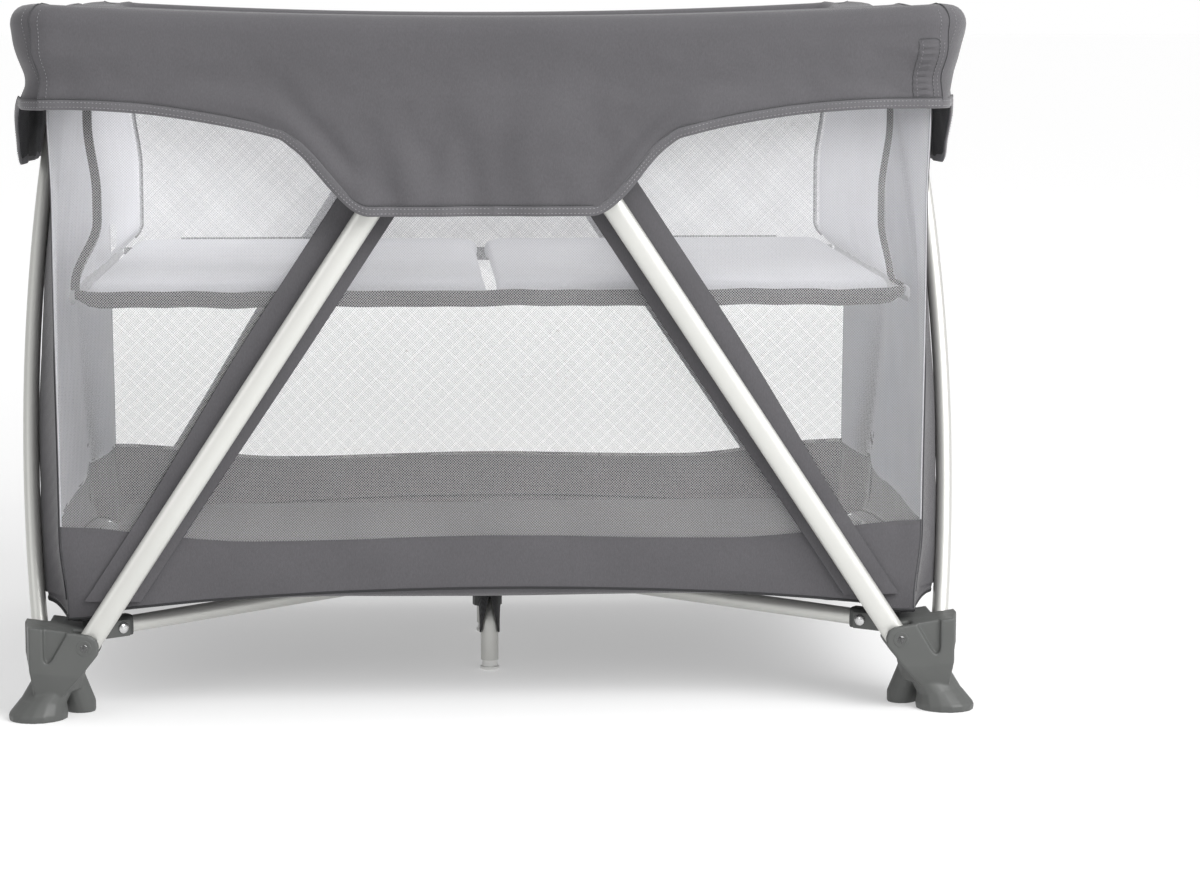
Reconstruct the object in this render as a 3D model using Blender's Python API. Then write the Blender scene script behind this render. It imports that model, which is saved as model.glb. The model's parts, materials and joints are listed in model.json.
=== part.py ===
"""Travel play yard: a folding aluminium frame with four moulded feet, a fabric top cover, mesh
walls, a fabric floor and a lift-in bassinet. Metres, +Z up, -Y is the front long side. The origin
is on the ground under the middle of the yard."""

import math

import bmesh
import bpy
from mathutils import Matrix, Vector

# Clearance between pieces that touch, and the running clearance round a pin
GAP = 0.0003
RUN = 0.0005

# Fabric top cover: half sizes, levels and hem
COVER_HALF_X = 0.527
COVER_HALF_Y = 0.401
COVER_TOP_Z = 0.784
COVER_DEPTH = 0.078
COVER_INNER_Z = 0.700
COVER_HEM_Z = 0.662
COVER_SIDE_HEM_Z = 0.606
FLAP_HEM_Z = 0.563
FLAP_HALF = 0.150
FLAP_SLOPE = 0.080
CLOTH = 0.0016

# Legs: flat-sided oval tubes, two to a foot
LEG_WIDE = 0.026
LEG_THICK = 0.018
LEG_WALL = 0.0014
LEG_FOOT_Z = 0.0866
LEG_TOP_Z = 0.700
LEG_OVERRUN = 0.012
LONG_LEG_Y = 0.370
LONG_FOOT_X = 0.4505
LONG_TOP_X = 0.0463
SHORT_FOOT_X = 0.511
SHORT_TOP_X = 0.503
SHORT_FOOT_Y = 0.310
SHORT_TOP_Y = 0.045
SHORT_BOW = 0.021

# Top rails and the corner blocks that carry them
RAIL_RADIUS = 0.011
RAIL_WALL = 0.0012
RAIL_Z = 0.745
LONG_RAIL_Y = 0.342
LONG_RAIL_PIVOT_X = 0.060
LONG_RAIL_END_X = 0.455
SHORT_RAIL_X = 0.472
SHORT_RAIL_PIVOT_Y = 0.050
SHORT_RAIL_END_Y = 0.297
BLOCK_HALF = 0.015
BLOCK_END_X = 0.488

# Hubs at the top of each side: a plate between the legs' plane and the rails' plane
PLATE = 0.005
PLATE_LOW_Z = 0.676
PLATE_HIGH_Z = 0.766
LONG_PLATE_HALF = 0.085
SHORT_PLATE_HALF = 0.078
POST_RADIUS = 0.004

# Floor arms, the centre hub and its leg
ARM_RADIUS = 0.0095
ARM_WALL = 0.0012
ARM_OVERRUN = 0.007
ARM_FOOT = Vector((0.425, 0.320, 0.095))
ARM_HUB_REACH = 0.0376
ARM_HUB_Z = 0.105
HUB_DISC_RADIUS = 0.060
HUB_DISC_Z = 0.118
HUB_DISC_TOP_Z = 0.124
HUB_STEM_RADIUS = 0.018
HUB_STEM_Z = 0.057
CENTRE_LEG_RADIUS = 0.0105
CENTRE_LEG_Y = 0.120
CENTRE_BAR_Z = 0.0745
CENTRE_BEND = 0.020
CENTRE_BORE = 0.0124
CENTRE_CAP_Z = 0.012
STRAP_HALF = 0.013
STRAP_LOW_Z = 0.046
STRAP_HIGH_Z = 0.112
LUG = 0.004

# Feet: a housing on a flared toe
HOUSING_LOW = Vector((0.4425, 0.290, 0.044))
HOUSING_HIGH = Vector((0.529, 0.387, 0.107))
SLOT_MARGIN = 0.0012
SLOT_RADIUS = 0.0190
SHORT_SLOT_IN = 0.0020
SHORT_SLOT_OUT = 0.0045
TOE_CENTRE = Vector((0.487, 0.348, 0.0))
TOE_SEGMENTS = 14

# Walls, floor cloth, bassinet and mattress
WALL_LOW_Z = 0.130
WALL_HIGH_Z = 0.655
LONG_WALL_Y = 0.347
SHORT_WALL_X = 0.477
SHORT_WALL_BOW = 0.030
SHORT_WALL_STEPS = 6
FLOOR_Z = 0.1325
BASSINET_HALF_X = 0.465
BASSINET_HALF_Y = 0.320
BASSINET_LOW_Z = 0.457
BASSINET_HIGH_Z = 0.660
MATTRESS_THICK = 0.026
MATTRESS_MARGIN = 0.008

CORNERS = {"fl": (-1, -1), "fr": (1, -1), "rl": (-1, 1), "rr": (1, 1)}


# Materials

def material(name, colour, roughness, metallic=0.0):
    made = bpy.data.materials.new(name)
    made.use_nodes = True
    shader = made.node_tree.nodes["Principled BSDF"]
    shader.inputs["Base Color"].default_value = (*colour, 1.0)
    shader.inputs["Roughness"].default_value = roughness
    shader.inputs["Metallic"].default_value = metallic
    made.diffuse_color = (*colour, 1.0)
    return made


def make_materials():
    return {
        "tube": material("satin_tube", (0.56, 0.56, 0.53), 0.38, 0.9),
        "moulding": material("grey_moulding", (0.16, 0.165, 0.16), 0.55),
        "steel": material("pin_steel", (0.62, 0.62, 0.62), 0.3, 1.0),
        "cap": material("white_cap", (0.82, 0.82, 0.80), 0.5),
        "cover": material("charcoal_cloth", (0.15, 0.15, 0.155), 0.85),
        "mesh": material("grey_mesh", (0.55, 0.55, 0.57), 0.9),
        "bassinet": material("pale_cloth", (0.42, 0.42, 0.46), 0.9),
        "webbing": material("black_webbing", (0.03, 0.03, 0.03), 0.85),
    }


# Building blocks

def finish(name, bm, mat, smooth=True):
    """Turns a bmesh into a named object with its own material."""
    bmesh.ops.recalc_face_normals(bm, faces=bm.faces)
    mesh = bpy.data.meshes.new(name)
    bm.to_mesh(mesh)
    bm.free()
    if mat is not None:
        mesh.materials.append(mat)
    if smooth:
        mesh.shade_smooth()
        mesh.set_sharp_from_angle(angle=math.radians(35))
    made = bpy.data.objects.new(name, mesh)
    bpy.context.scene.collection.objects.link(made)
    return made


def guide(made):
    """Marks an object as a Boolean's tool, which is not a piece of the yard."""
    made.hide_render = True
    made.display_type = "WIRE"
    made.hide_set(True)
    return made


def boolean(target, tool, operation):
    step = target.modifiers.new(operation.lower(), "BOOLEAN")
    step.operation = operation
    step.solver = "EXACT"
    step.object = tool


def box(low, high):
    low, high = Vector(low), Vector(high)
    bm = bmesh.new()
    bmesh.ops.create_cube(bm, size=1.0)
    size = high - low
    bmesh.ops.scale(bm, vec=size, verts=bm.verts)
    bmesh.ops.translate(bm, vec=(low + high) / 2, verts=bm.verts)
    return bm


def rod(start, end, radius, segments=10):
    """A solid round bar between two points."""
    start, end = Vector(start), Vector(end)
    bm = bmesh.new()
    bmesh.ops.create_cone(bm, cap_ends=True, segments=segments, radius1=radius, radius2=radius,
                          depth=(end - start).length)
    turn = (end - start).to_track_quat("Z", "X").to_matrix().to_4x4()
    bmesh.ops.transform(bm, matrix=Matrix.Translation((start + end) / 2) @ turn, verts=bm.verts)
    return bm


def oval(half_wide, half_thick, segments=12):
    """Points round a flat-sided oval: a superellipse, wide along the first axis."""
    points = []
    for i in range(segments):
        angle = math.tau * i / segments
        c, s = math.cos(angle), math.sin(angle)
        scale = (abs(c) ** 2.6 + abs(s) ** 2.6) ** (-1 / 2.6)
        points.append((half_wide * scale * c, half_thick * scale * s))
    return points


def tube(path, across, wide, thick, wall, segments=12):
    """An open-ended tube along a path. Its wide axis lies in the path's plane, and across is the
    direction square to that plane."""
    across = Vector(across).normalized()
    bm = bmesh.new()
    layers = []
    for inset in (0.0, wall):
        rings = []
        section = oval(wide / 2 - inset, thick / 2 - inset, segments)
        for i, point in enumerate(path):
            before, after = path[max(i - 1, 0)], path[min(i + 1, len(path) - 1)]
            along = (after - before).normalized()
            side = across.cross(along).normalized()
            up = along.cross(side).normalized()
            rings.append([bm.verts.new(point + side * a + up * b) for a, b in section])
        layers.append(rings)
    outer, inner = layers
    for rings in layers:
        for low, high in zip(rings, rings[1:]):
            for k in range(segments):
                n = (k + 1) % segments
                bm.faces.new((low[k], low[n], high[n], high[k]))
    for end in (0, -1):
        for k in range(segments):
            n = (k + 1) % segments
            bm.faces.new((outer[end][k], outer[end][n], inner[end][n], inner[end][k]))
    return bm


def drill(target, centre, direction, radius, reach=0.03):
    """Cuts a round hole right through a piece."""
    direction = Vector(direction).normalized()
    tool = rod(centre - direction * reach, centre + direction * reach, radius)
    boolean(target, guide(finish(target.name + "_hole", tool, None)), "DIFFERENCE")


def placed(point, corner):
    """Moves a point of the +X +Y quarter to a corner's quarter."""
    sx, sy = CORNERS[corner]
    return Vector((point[0] * sx, point[1] * sy, point[2]))


def spanned(low, high, corner):
    """The two extreme corners of a box that is mirrored into a quarter."""
    a, b = placed(low, corner), placed(high, corner)
    return Vector(map(min, a, b)), Vector(map(max, a, b))


# Frame

def extended(start, end, overrun_start, overrun_end):
    along = (end - start).normalized()
    return [start - along * overrun_start, end + along * overrun_end]


def make_long_leg(corner, mats):
    foot = placed((LONG_FOOT_X, LONG_LEG_Y, LEG_FOOT_Z), corner)
    top = placed((LONG_TOP_X, LONG_LEG_Y, LEG_TOP_Z), corner)
    path = extended(foot, top, LEG_OVERRUN, LEG_OVERRUN)
    leg = finish(f"long_leg_{corner}", tube(path, (0, 1, 0), LEG_WIDE, LEG_THICK, LEG_WALL),
                 mats["tube"])
    for pivot in (foot, top):
        drill(leg, pivot, (0, 1, 0), POST_RADIUS + RUN)


def short_leg_path(corner, steps=6):
    """The short sides' legs bow outward between the foot and the hub."""
    points = []
    rise = LEG_TOP_Z - LEG_FOOT_Z
    slope = (SHORT_FOOT_Y - SHORT_TOP_Y) / rise
    length = rise * math.hypot(1, slope)
    for i in range(steps + 1):
        t = (i / steps) * (length + 2 * LEG_OVERRUN) / length - LEG_OVERRUN / length
        x = SHORT_FOOT_X + (SHORT_TOP_X - SHORT_FOOT_X) * t + SHORT_BOW * 4 * t * (1 - t)
        y = SHORT_FOOT_Y + (SHORT_TOP_Y - SHORT_FOOT_Y) * t
        points.append(placed((x, y, LEG_FOOT_Z + rise * t), corner))
    return points


def make_short_leg(corner, mats):
    leg = finish(f"short_leg_{corner}",
                 tube(short_leg_path(corner), (1, 0, 0), LEG_WIDE, LEG_THICK, LEG_WALL),
                 mats["tube"])
    drill(leg, placed((SHORT_FOOT_X, SHORT_FOOT_Y, LEG_FOOT_Z), corner), (1, 0, 0),
          POST_RADIUS + RUN)
    drill(leg, placed((SHORT_TOP_X, SHORT_TOP_Y, LEG_TOP_Z), corner), (1, 0, 0),
          POST_RADIUS + RUN)


def make_rails(corner, mats):
    size = 2 * RAIL_RADIUS
    pivot = placed((LONG_RAIL_PIVOT_X, LONG_RAIL_Y, RAIL_Z), corner)
    end = placed((LONG_RAIL_END_X, LONG_RAIL_Y, RAIL_Z), corner)
    rail = finish(f"long_rail_{corner}",
                  tube(extended(pivot, end, RAIL_RADIUS, 0), (0, 1, 0), size, size, RAIL_WALL),
                  mats["tube"])
    drill(rail, pivot, (0, 1, 0), POST_RADIUS + RUN)
    pivot = placed((SHORT_RAIL_X, SHORT_RAIL_PIVOT_Y, RAIL_Z), corner)
    end = placed((SHORT_RAIL_X, SHORT_RAIL_END_Y, RAIL_Z), corner)
    rail = finish(f"short_rail_{corner}",
                  tube(extended(pivot, end, RAIL_RADIUS, 0), (1, 0, 0), size, size, RAIL_WALL),
                  mats["tube"])
    drill(rail, pivot, (1, 0, 0), POST_RADIUS + RUN)


def make_corner_block(corner, mats):
    """A moulded block on the end of each long rail, with a spigot inside the tube."""
    low, high = spanned(
        (LONG_RAIL_END_X + GAP, LONG_RAIL_Y - BLOCK_HALF, RAIL_Z - BLOCK_HALF),
        (BLOCK_END_X, LONG_RAIL_Y + BLOCK_HALF, RAIL_Z + BLOCK_HALF), corner)
    block_mesh = box(low, high)
    bmesh.ops.bevel(block_mesh, geom=block_mesh.edges[:], offset=0.005, segments=2,
                    affect="EDGES", profile=0.5)
    block = finish(f"corner_block_{corner}", block_mesh, mats["moulding"])
    spigot = rod(placed((LONG_RAIL_END_X - 0.022, LONG_RAIL_Y, RAIL_Z), corner),
                 placed((LONG_RAIL_END_X + 0.010, LONG_RAIL_Y, RAIL_Z), corner),
                 RAIL_RADIUS - RAIL_WALL - RUN)
    boolean(block, guide(finish(f"spigot_{corner}", spigot, None)), "UNION")


def make_side_hub(name, along, outward, way, plane, leg, rail, half, mats):
    """A rounded plate with posts: a leg turns on its outer face and both rails on its inner one.
    leg and rail are each (distance along the side, height, plane of the tubes, their thickness).
    way says which of the side's two legs carries the hub. The other leg has no post, because
    the folding loop is opened there."""
    along, outward = Vector(along), Vector(outward)

    def at(a, out, z):
        return along * a + outward * out + Vector((0, 0, z))

    low, high = at(-half, plane - PLATE / 2, PLATE_LOW_Z), at(half, plane + PLATE / 2, PLATE_HIGH_Z)
    plate = box(Vector(map(min, low, high)), Vector(map(max, low, high)))
    upright = [e for e in plate.edges
               if abs((e.verts[0].co - e.verts[1].co).normalized().dot(outward)) > 0.9]
    bmesh.ops.bevel(plate, geom=upright, offset=0.018, segments=5, affect="EDGES", profile=0.5)
    hub = finish(name, plate, mats["moulding"])
    for (distance, height, tube_plane, tube_thick), sides in ((leg, (way,)), (rail, (-1, 1))):
        facing = 1 if tube_plane > plane else -1
        tip = tube_plane + facing * (tube_thick / 2 + 0.002)
        for side in sides:
            post = rod(at(side * distance, plane, height), at(side * distance, tip, height),
                       POST_RADIUS)
            boolean(hub, guide(finish(name + "_post", post, None)), "UNION")


def make_side_hubs(mats):
    long_plane = (LONG_LEG_Y - LEG_THICK / 2 + LONG_RAIL_Y + RAIL_RADIUS) / 2
    short_plane = (SHORT_TOP_X - LEG_THICK / 2 + SHORT_RAIL_X + RAIL_RADIUS) / 2
    long_leg = (LONG_TOP_X, LEG_TOP_Z, LONG_LEG_Y, LEG_THICK)
    long_rail = (LONG_RAIL_PIVOT_X, RAIL_Z, LONG_RAIL_Y, 2 * RAIL_RADIUS)
    short_leg = (SHORT_TOP_Y, LEG_TOP_Z, SHORT_TOP_X, LEG_THICK)
    short_rail = (SHORT_RAIL_PIVOT_Y, RAIL_Z, SHORT_RAIL_X, 2 * RAIL_RADIUS)
    for name, sign, way in (("hub_front", -1, -1), ("hub_rear", 1, 1)):
        make_side_hub(name, (1, 0, 0), (0, sign, 0), way, long_plane, long_leg, long_rail,
                      LONG_PLATE_HALF, mats)
    for name, sign, way in (("hub_left", -1, 1), ("hub_right", 1, -1)):
        make_side_hub(name, (0, 1, 0), (sign, 0, 0), way, short_plane, short_leg, short_rail,
                      SHORT_PLATE_HALF, mats)


# Floor arms and the centre hub

def arm_axes():
    """The direction from the middle to a foot's arm pivot, and the level direction across it."""
    outward = Vector((ARM_FOOT.x, ARM_FOOT.y, 0)).normalized()
    return outward, Vector((-outward.y, outward.x, 0))


def make_arm(corner, mats):
    outward, across = arm_axes()
    inner = outward * ARM_HUB_REACH + Vector((0, 0, ARM_HUB_Z))
    foot, hub = placed(ARM_FOOT, corner), placed(inner, corner)
    side = placed(across, corner)
    size = 2 * ARM_RADIUS
    arm = finish(f"floor_arm_{corner}",
                 tube(extended(foot, hub, ARM_OVERRUN, ARM_OVERRUN), side, size, size, ARM_WALL),
                 mats["tube"])
    for pivot in (foot, hub):
        drill(arm, pivot, side, POST_RADIUS + RUN)
    reach = ARM_RADIUS + SLOT_MARGIN + LUG + 0.002
    finish(f"arm_pin_{corner}", rod(foot - side * reach, foot + side * reach, POST_RADIUS),
           mats["steel"])


def lug_mesh(centre, along, across, offset, back, front, low, high):
    """An upright plate beside a pivot, between two distances along the arm."""
    bm = bmesh.new()
    points = []
    for a in (-back, front):
        for s in (offset, offset + LUG):
            for z in (low, high):
                point = centre + along * a + across * s
                points.append(bm.verts.new((point.x, point.y, z)))
    bmesh.ops.convex_hull(bm, input=points)
    return bm


def make_centre_hub(mats):
    disc = rod((0, 0, HUB_DISC_Z), (0, 0, HUB_DISC_TOP_Z), HUB_DISC_RADIUS, 24)
    hub = finish("centre_hub", disc, mats["moulding"])
    stem = rod((0, 0, HUB_STEM_Z), (0, 0, HUB_DISC_Z + 0.002), HUB_STEM_RADIUS, 12)
    boolean(hub, guide(finish("hub_stem", stem, None)), "UNION")
    outward, across = arm_axes()
    offset = ARM_RADIUS + SLOT_MARGIN
    for corner in CORNERS:
        along, side = placed(outward, corner), placed(across, corner)
        pivot = along * ARM_HUB_REACH + Vector((0, 0, ARM_HUB_Z))
        for way in (-1, 1):
            lug = lug_mesh(pivot, along, side * way, offset, 0.007, 0.009,
                           ARM_HUB_Z - 0.009, HUB_DISC_Z + 0.002)
            boolean(hub, guide(finish("hub_lug", lug, None)), "UNION")
        post = rod(pivot - side * (offset + LUG / 2), pivot + side * (offset + LUG / 2),
                   POST_RADIUS)
        boolean(hub, guide(finish("hub_post", post, None)), "UNION")
    drill(hub, Vector((0, 0, CENTRE_BAR_Z)), (0, 1, 0), CENTRE_BORE)


def centre_leg_path(steps=4):
    """A staple: up from one foot, along through the hub's stem, and down to the other foot."""
    half = [Vector((0, CENTRE_LEG_Y, CENTRE_CAP_Z))]
    for i in range(steps + 1):
        angle = math.radians(90) * i / steps
        half.append(Vector((0, CENTRE_LEG_Y - CENTRE_BEND * (1 - math.cos(angle)),
                            CENTRE_BAR_Z - CENTRE_BEND * (1 - math.sin(angle)))))
    return [Vector((0, -p.y, p.z)) for p in half] + half[::-1]


def make_centre_leg(mats):
    size = 2 * CENTRE_LEG_RADIUS
    finish("centre_leg", tube(centre_leg_path(), (1, 0, 0), size, size, ARM_WALL), mats["tube"])
    for name, sign in (("front", -1), ("rear", 1)):
        y = sign * CENTRE_LEG_Y
        cap = rod((0, y, 0), (0, y, CENTRE_CAP_Z - GAP), CENTRE_LEG_RADIUS + 0.0012, 14)
        finish(f"centre_leg_cap_{name}", cap, mats["cap"])


def make_strap(mats):
    """The webbing tail that hangs from the floor cloth against the front end of the centre leg."""
    front = -CENTRE_LEG_Y - CENTRE_LEG_RADIUS
    tail = box((-STRAP_HALF, front - 0.0035, STRAP_LOW_Z), (STRAP_HALF, front - 0.0015, STRAP_HIGH_Z))
    finish("pull_strap", tail, mats["webbing"])


# Feet

def toe_mesh(corner):
    """The flared toe: stacked ovals that widen and lean outward as they near the ground."""
    bm = bmesh.new()
    levels = ((0.000, 0.054, 0.046, 0.006), (0.007, 0.055, 0.047, 0.006),
              (0.020, 0.047, 0.040, 0.004), (0.034, 0.037, 0.034, 0.002),
              (0.056, 0.034, 0.034, 0.000))
    rings = []
    for z, half_x, half_y, lean in levels:
        ring = []
        for i in range(TOE_SEGMENTS):
            angle = math.tau * i / TOE_SEGMENTS
            x = TOE_CENTRE.x + lean + (half_x - lean) * math.cos(angle)
            y = TOE_CENTRE.y + lean + (half_y - lean) * math.sin(angle)
            ring.append(bm.verts.new(placed((x, y, z), corner)))
        rings.append(ring)
    for low, high in zip(rings, rings[1:]):
        for k in range(TOE_SEGMENTS):
            n = (k + 1) % TOE_SEGMENTS
            bm.faces.new((low[k], low[n], high[n], high[k]))
    bm.faces.new(rings[0])
    bm.faces.new(rings[-1])
    return bm


def make_foot(corner, mats):
    low, high = spanned(HOUSING_LOW, HOUSING_HIGH, corner)
    body = box(low, high)
    bmesh.ops.bevel(body, geom=body.edges[:], offset=0.009, segments=2, affect="EDGES",
                    profile=0.5)
    foot = finish(f"foot_{corner}", body, mats["moulding"])
    boolean(foot, guide(finish("toe", toe_mesh(corner), None)), "UNION")
    outward, across = arm_axes()
    along, side = placed(outward, corner), placed(across, corner)
    pivot = placed(ARM_FOOT, corner)
    offset = ARM_RADIUS + SLOT_MARGIN
    for way in (-1, 1):
        lug = lug_mesh(pivot, along, side * way, offset, 0.009, 0.036,
                       ARM_FOOT.z - 0.010, ARM_FOOT.z + 0.008)
        boolean(foot, guide(finish("foot_lug", lug, None)), "UNION")
    half = LEG_THICK / 2 + SLOT_MARGIN
    slots = (
        ((0.380, LONG_LEG_Y - half, LEG_FOOT_Z - SLOT_RADIUS),
         (LONG_FOOT_X + SLOT_RADIUS, LONG_LEG_Y + half, 0.200)),
        ((SHORT_FOOT_X - half - SHORT_SLOT_IN, 0.240, LEG_FOOT_Z - SLOT_RADIUS),
         (SHORT_FOOT_X + half + SHORT_SLOT_OUT, SHORT_FOOT_Y + SLOT_RADIUS, 0.200)),
    )
    for low, high in slots:
        tool = box(*spanned(low, high, corner))
        boolean(foot, guide(finish("foot_slot", tool, None)), "DIFFERENCE")
    for centre, direction in leg_pivots(corner):
        drill(foot, centre, direction, POST_RADIUS + RUN)
    drill(foot, pivot, side, POST_RADIUS + RUN)


def leg_pivots(corner):
    """The pivots of a foot's two legs, as (point, direction of the pin)."""
    return (
        (placed((LONG_FOOT_X, LONG_LEG_Y, LEG_FOOT_Z), corner), Vector((0, 1, 0))),
        (placed((SHORT_FOOT_X, SHORT_FOOT_Y, LEG_FOOT_Z), corner), Vector((1, 0, 0))),
    )


def make_leg_pins(corner, mats):
    reach = LEG_THICK / 2 + 0.006
    for name, (centre, direction) in zip(("long", "short"), leg_pivots(corner)):
        finish(f"{name}_leg_pin_{corner}",
               rod(centre - direction * reach, centre + direction * reach, POST_RADIUS),
               mats["steel"])


# Soft goods

def sheet(name, rows, mat):
    """A thin closed solid from a grid of points: a single surface given thickness."""
    bm = bmesh.new()
    grid = [[bm.verts.new(p) for p in row] for row in rows]
    for a, b in zip(grid, grid[1:]):
        for k in range(len(a) - 1):
            bm.faces.new((a[k], a[k + 1], b[k + 1], b[k]))
    made = finish(name, bm, mat, smooth=False)
    skin = made.modifiers.new("thickness", "SOLIDIFY")
    skin.thickness = CLOTH
    skin.offset = 0
    skin.use_even_offset = True


def flap_hem(distance):
    """Height of the long sides' hem: a deep flap over the hub and a shallow run to the corners."""
    t = (abs(distance) - FLAP_HALF) / FLAP_SLOPE
    t = min(max(t, 0.0), 1.0)
    return FLAP_HEM_Z + (COVER_HEM_Z - FLAP_HEM_Z) * t * t * (3 - 2 * t)


def make_cover(mats):
    """One inverted trough of cloth over each side's rails, mitred at the corners."""
    extra = COVER_HALF_X - COVER_HALF_Y
    mitre_gap = 0.0015
    sides = (("front", "x", -1), ("rear", "x", 1), ("left", "y", -1), ("right", "y", 1))
    for side, axis, sign in sides:
        rows = []
        steps = 24 if axis == "x" else 6
        for i in range(steps + 1):
            share = 2 * i / steps - 1
            row = []
            for depth, level in ((COVER_DEPTH, 0), (COVER_DEPTH, 1), (0, 1), (0, 0)):
                out = COVER_HALF_Y - depth
                length = (out + extra if axis == "x" else out) - mitre_gap
                place = share * length
                hem = flap_hem(place) if axis == "x" else COVER_SIDE_HEM_Z
                z = COVER_TOP_Z if level else (COVER_INNER_Z if depth else hem)
                if axis == "x":
                    row.append((place, sign * out, z))
                else:
                    row.append((sign * (out + extra), place, z))
            rows.append(row)
        sheet(f"cover_{side}", rows, mats["cover"])


def make_walls(mats):
    half_x, half_y = SHORT_WALL_X - 0.003, LONG_WALL_Y - 0.003
    for side, sign in (("front", -1), ("rear", 1)):
        y = sign * LONG_WALL_Y
        rows = [[(x, y, WALL_LOW_Z), (x, y, WALL_HIGH_Z)] for x in (-half_x, half_x)]
        sheet(f"wall_{side}", rows, mats["mesh"])
    for side, sign in (("left", -1), ("right", 1)):
        rows = [[bowed_wall_point(sign, i, k, half_y) for k in range(SHORT_WALL_STEPS + 1)]
                for i in range(SHORT_WALL_STEPS + 1)]
        sheet(f"wall_{side}", rows, mats["mesh"])


def bowed_wall_point(sign, i, k, half_y):
    """A grid point of a short wall, which bows outward to its curved legs."""
    across = 2 * i / SHORT_WALL_STEPS - 1
    up = k / SHORT_WALL_STEPS
    x = SHORT_WALL_X + SHORT_WALL_BOW * 4 * up * (1 - up) * (1 - across ** 2)
    return (sign * x, across * half_y, WALL_LOW_Z + (WALL_HIGH_Z - WALL_LOW_Z) * up)


def make_floor(mats):
    half_x, half_y = SHORT_WALL_X - 0.006, LONG_WALL_Y - 0.006
    rows = [[(x, -half_y, FLOOR_Z), (x, half_y, FLOOR_Z)] for x in (-half_x, half_x)]
    sheet("floor_cloth", rows, mats["cover"])


def make_bassinet(mats):
    """An open tray of cloth: a floor with four walls, made as one skin."""
    tray = box((-BASSINET_HALF_X, -BASSINET_HALF_Y, BASSINET_LOW_Z),
               (BASSINET_HALF_X, BASSINET_HALF_Y, BASSINET_HIGH_Z))
    top = [f for f in tray.faces if f.calc_center_median().z > BASSINET_HIGH_Z - GAP]
    bmesh.ops.delete(tray, geom=top, context="FACES_ONLY")
    made = finish("bassinet", tray, mats["bassinet"], smooth=False)
    skin = made.modifiers.new("thickness", "SOLIDIFY")
    skin.thickness = CLOTH
    skin.offset = 0
    skin.use_even_offset = True


def make_mattress(mats):
    half_x, half_y = BASSINET_HALF_X - MATTRESS_MARGIN, BASSINET_HALF_Y - MATTRESS_MARGIN
    low = BASSINET_LOW_Z + CLOTH
    pad = box((-half_x, -half_y, low), (half_x, half_y, low + MATTRESS_THICK))
    bmesh.ops.bevel(pad, geom=pad.edges[:], offset=0.009, segments=2, affect="EDGES",
                    profile=0.5)
    finish("mattress", pad, mats["bassinet"])


def clear_scene():
    for old in list(bpy.data.objects):
        bpy.data.objects.remove(old, do_unlink=True)


def main():
    clear_scene()
    mats = make_materials()
    for corner in CORNERS:
        make_foot(corner, mats)
        make_leg_pins(corner, mats)
        make_long_leg(corner, mats)
        make_short_leg(corner, mats)
        make_rails(corner, mats)
        make_corner_block(corner, mats)
        make_arm(corner, mats)
    make_side_hubs(mats)
    make_centre_hub(mats)
    make_centre_leg(mats)
    make_strap(mats)
    make_cover(mats)
    make_walls(mats)
    make_floor(mats)
    make_bassinet(mats)
    make_mattress(mats)


main()
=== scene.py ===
"""Looks of the travel play yard, built round the fixed CAD frame: the sewn top cover, mesh walls,
tubes, feet, bassinet and mattress. Metres, +Z up, -Y is the front long side."""

import json
import math

import bmesh
import bpy
import numpy as np
from mathutils import Matrix, Vector, noise


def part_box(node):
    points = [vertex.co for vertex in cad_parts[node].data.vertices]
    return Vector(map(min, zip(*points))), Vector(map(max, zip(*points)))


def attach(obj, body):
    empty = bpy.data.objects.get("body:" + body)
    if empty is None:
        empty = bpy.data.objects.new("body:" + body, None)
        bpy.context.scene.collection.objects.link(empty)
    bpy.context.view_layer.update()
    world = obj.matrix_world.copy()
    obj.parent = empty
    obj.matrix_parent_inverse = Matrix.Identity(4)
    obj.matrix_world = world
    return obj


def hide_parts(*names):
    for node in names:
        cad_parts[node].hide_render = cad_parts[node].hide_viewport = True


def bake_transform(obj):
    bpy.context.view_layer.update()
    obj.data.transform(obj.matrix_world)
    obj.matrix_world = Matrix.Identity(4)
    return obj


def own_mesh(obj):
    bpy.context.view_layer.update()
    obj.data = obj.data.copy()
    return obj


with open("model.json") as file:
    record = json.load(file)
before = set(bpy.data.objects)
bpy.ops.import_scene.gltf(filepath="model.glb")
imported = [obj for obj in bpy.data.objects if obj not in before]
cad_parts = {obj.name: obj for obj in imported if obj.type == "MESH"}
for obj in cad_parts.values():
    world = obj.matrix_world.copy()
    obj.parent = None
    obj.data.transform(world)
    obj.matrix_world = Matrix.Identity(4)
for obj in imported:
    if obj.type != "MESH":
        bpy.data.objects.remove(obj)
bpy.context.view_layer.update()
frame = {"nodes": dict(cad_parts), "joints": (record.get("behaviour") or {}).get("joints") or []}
PIVOT = {j["name"]: Vector([abs(c) for c in j["pos_m"]]) for j in frame["joints"]}
CORNERS = {"fl": (-1, -1), "fr": (1, -1), "rl": (-1, 1), "rr": (1, 1)}
LONG_SIDES = {"front": -1, "rear": 1}
SHORT_SIDES = {"left": -1, "right": 1}

# Tubes
LEG_WIDE = 0.026
LEG_THICK = 0.018
LEG_OVERRUN = 0.012
LONG_LEG_OVERRUN = 0.003
SHORT_BOW = 0.021
RAIL_RADIUS = 0.011
ARM_RADIUS = 0.0095
ARM_OVERRUN = 0.007
LONG_FOOT = PIVOT["long_leg_pivot_fl"]
LONG_TOP = PIVOT["hub_level_front"]
SHORT_FOOT = PIVOT["short_leg_pivot_fl"]
SHORT_TOP = PIVOT["hub_level_left"]
LONG_RAIL = PIVOT["long_rail_drop_fl"]
SHORT_RAIL = PIVOT["short_rail_drop_fl"]
ARM_FOOT = PIVOT["fold"]
ARM_HUB = PIVOT["hub_level"]
CENTRE_BEND = 0.020

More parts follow.
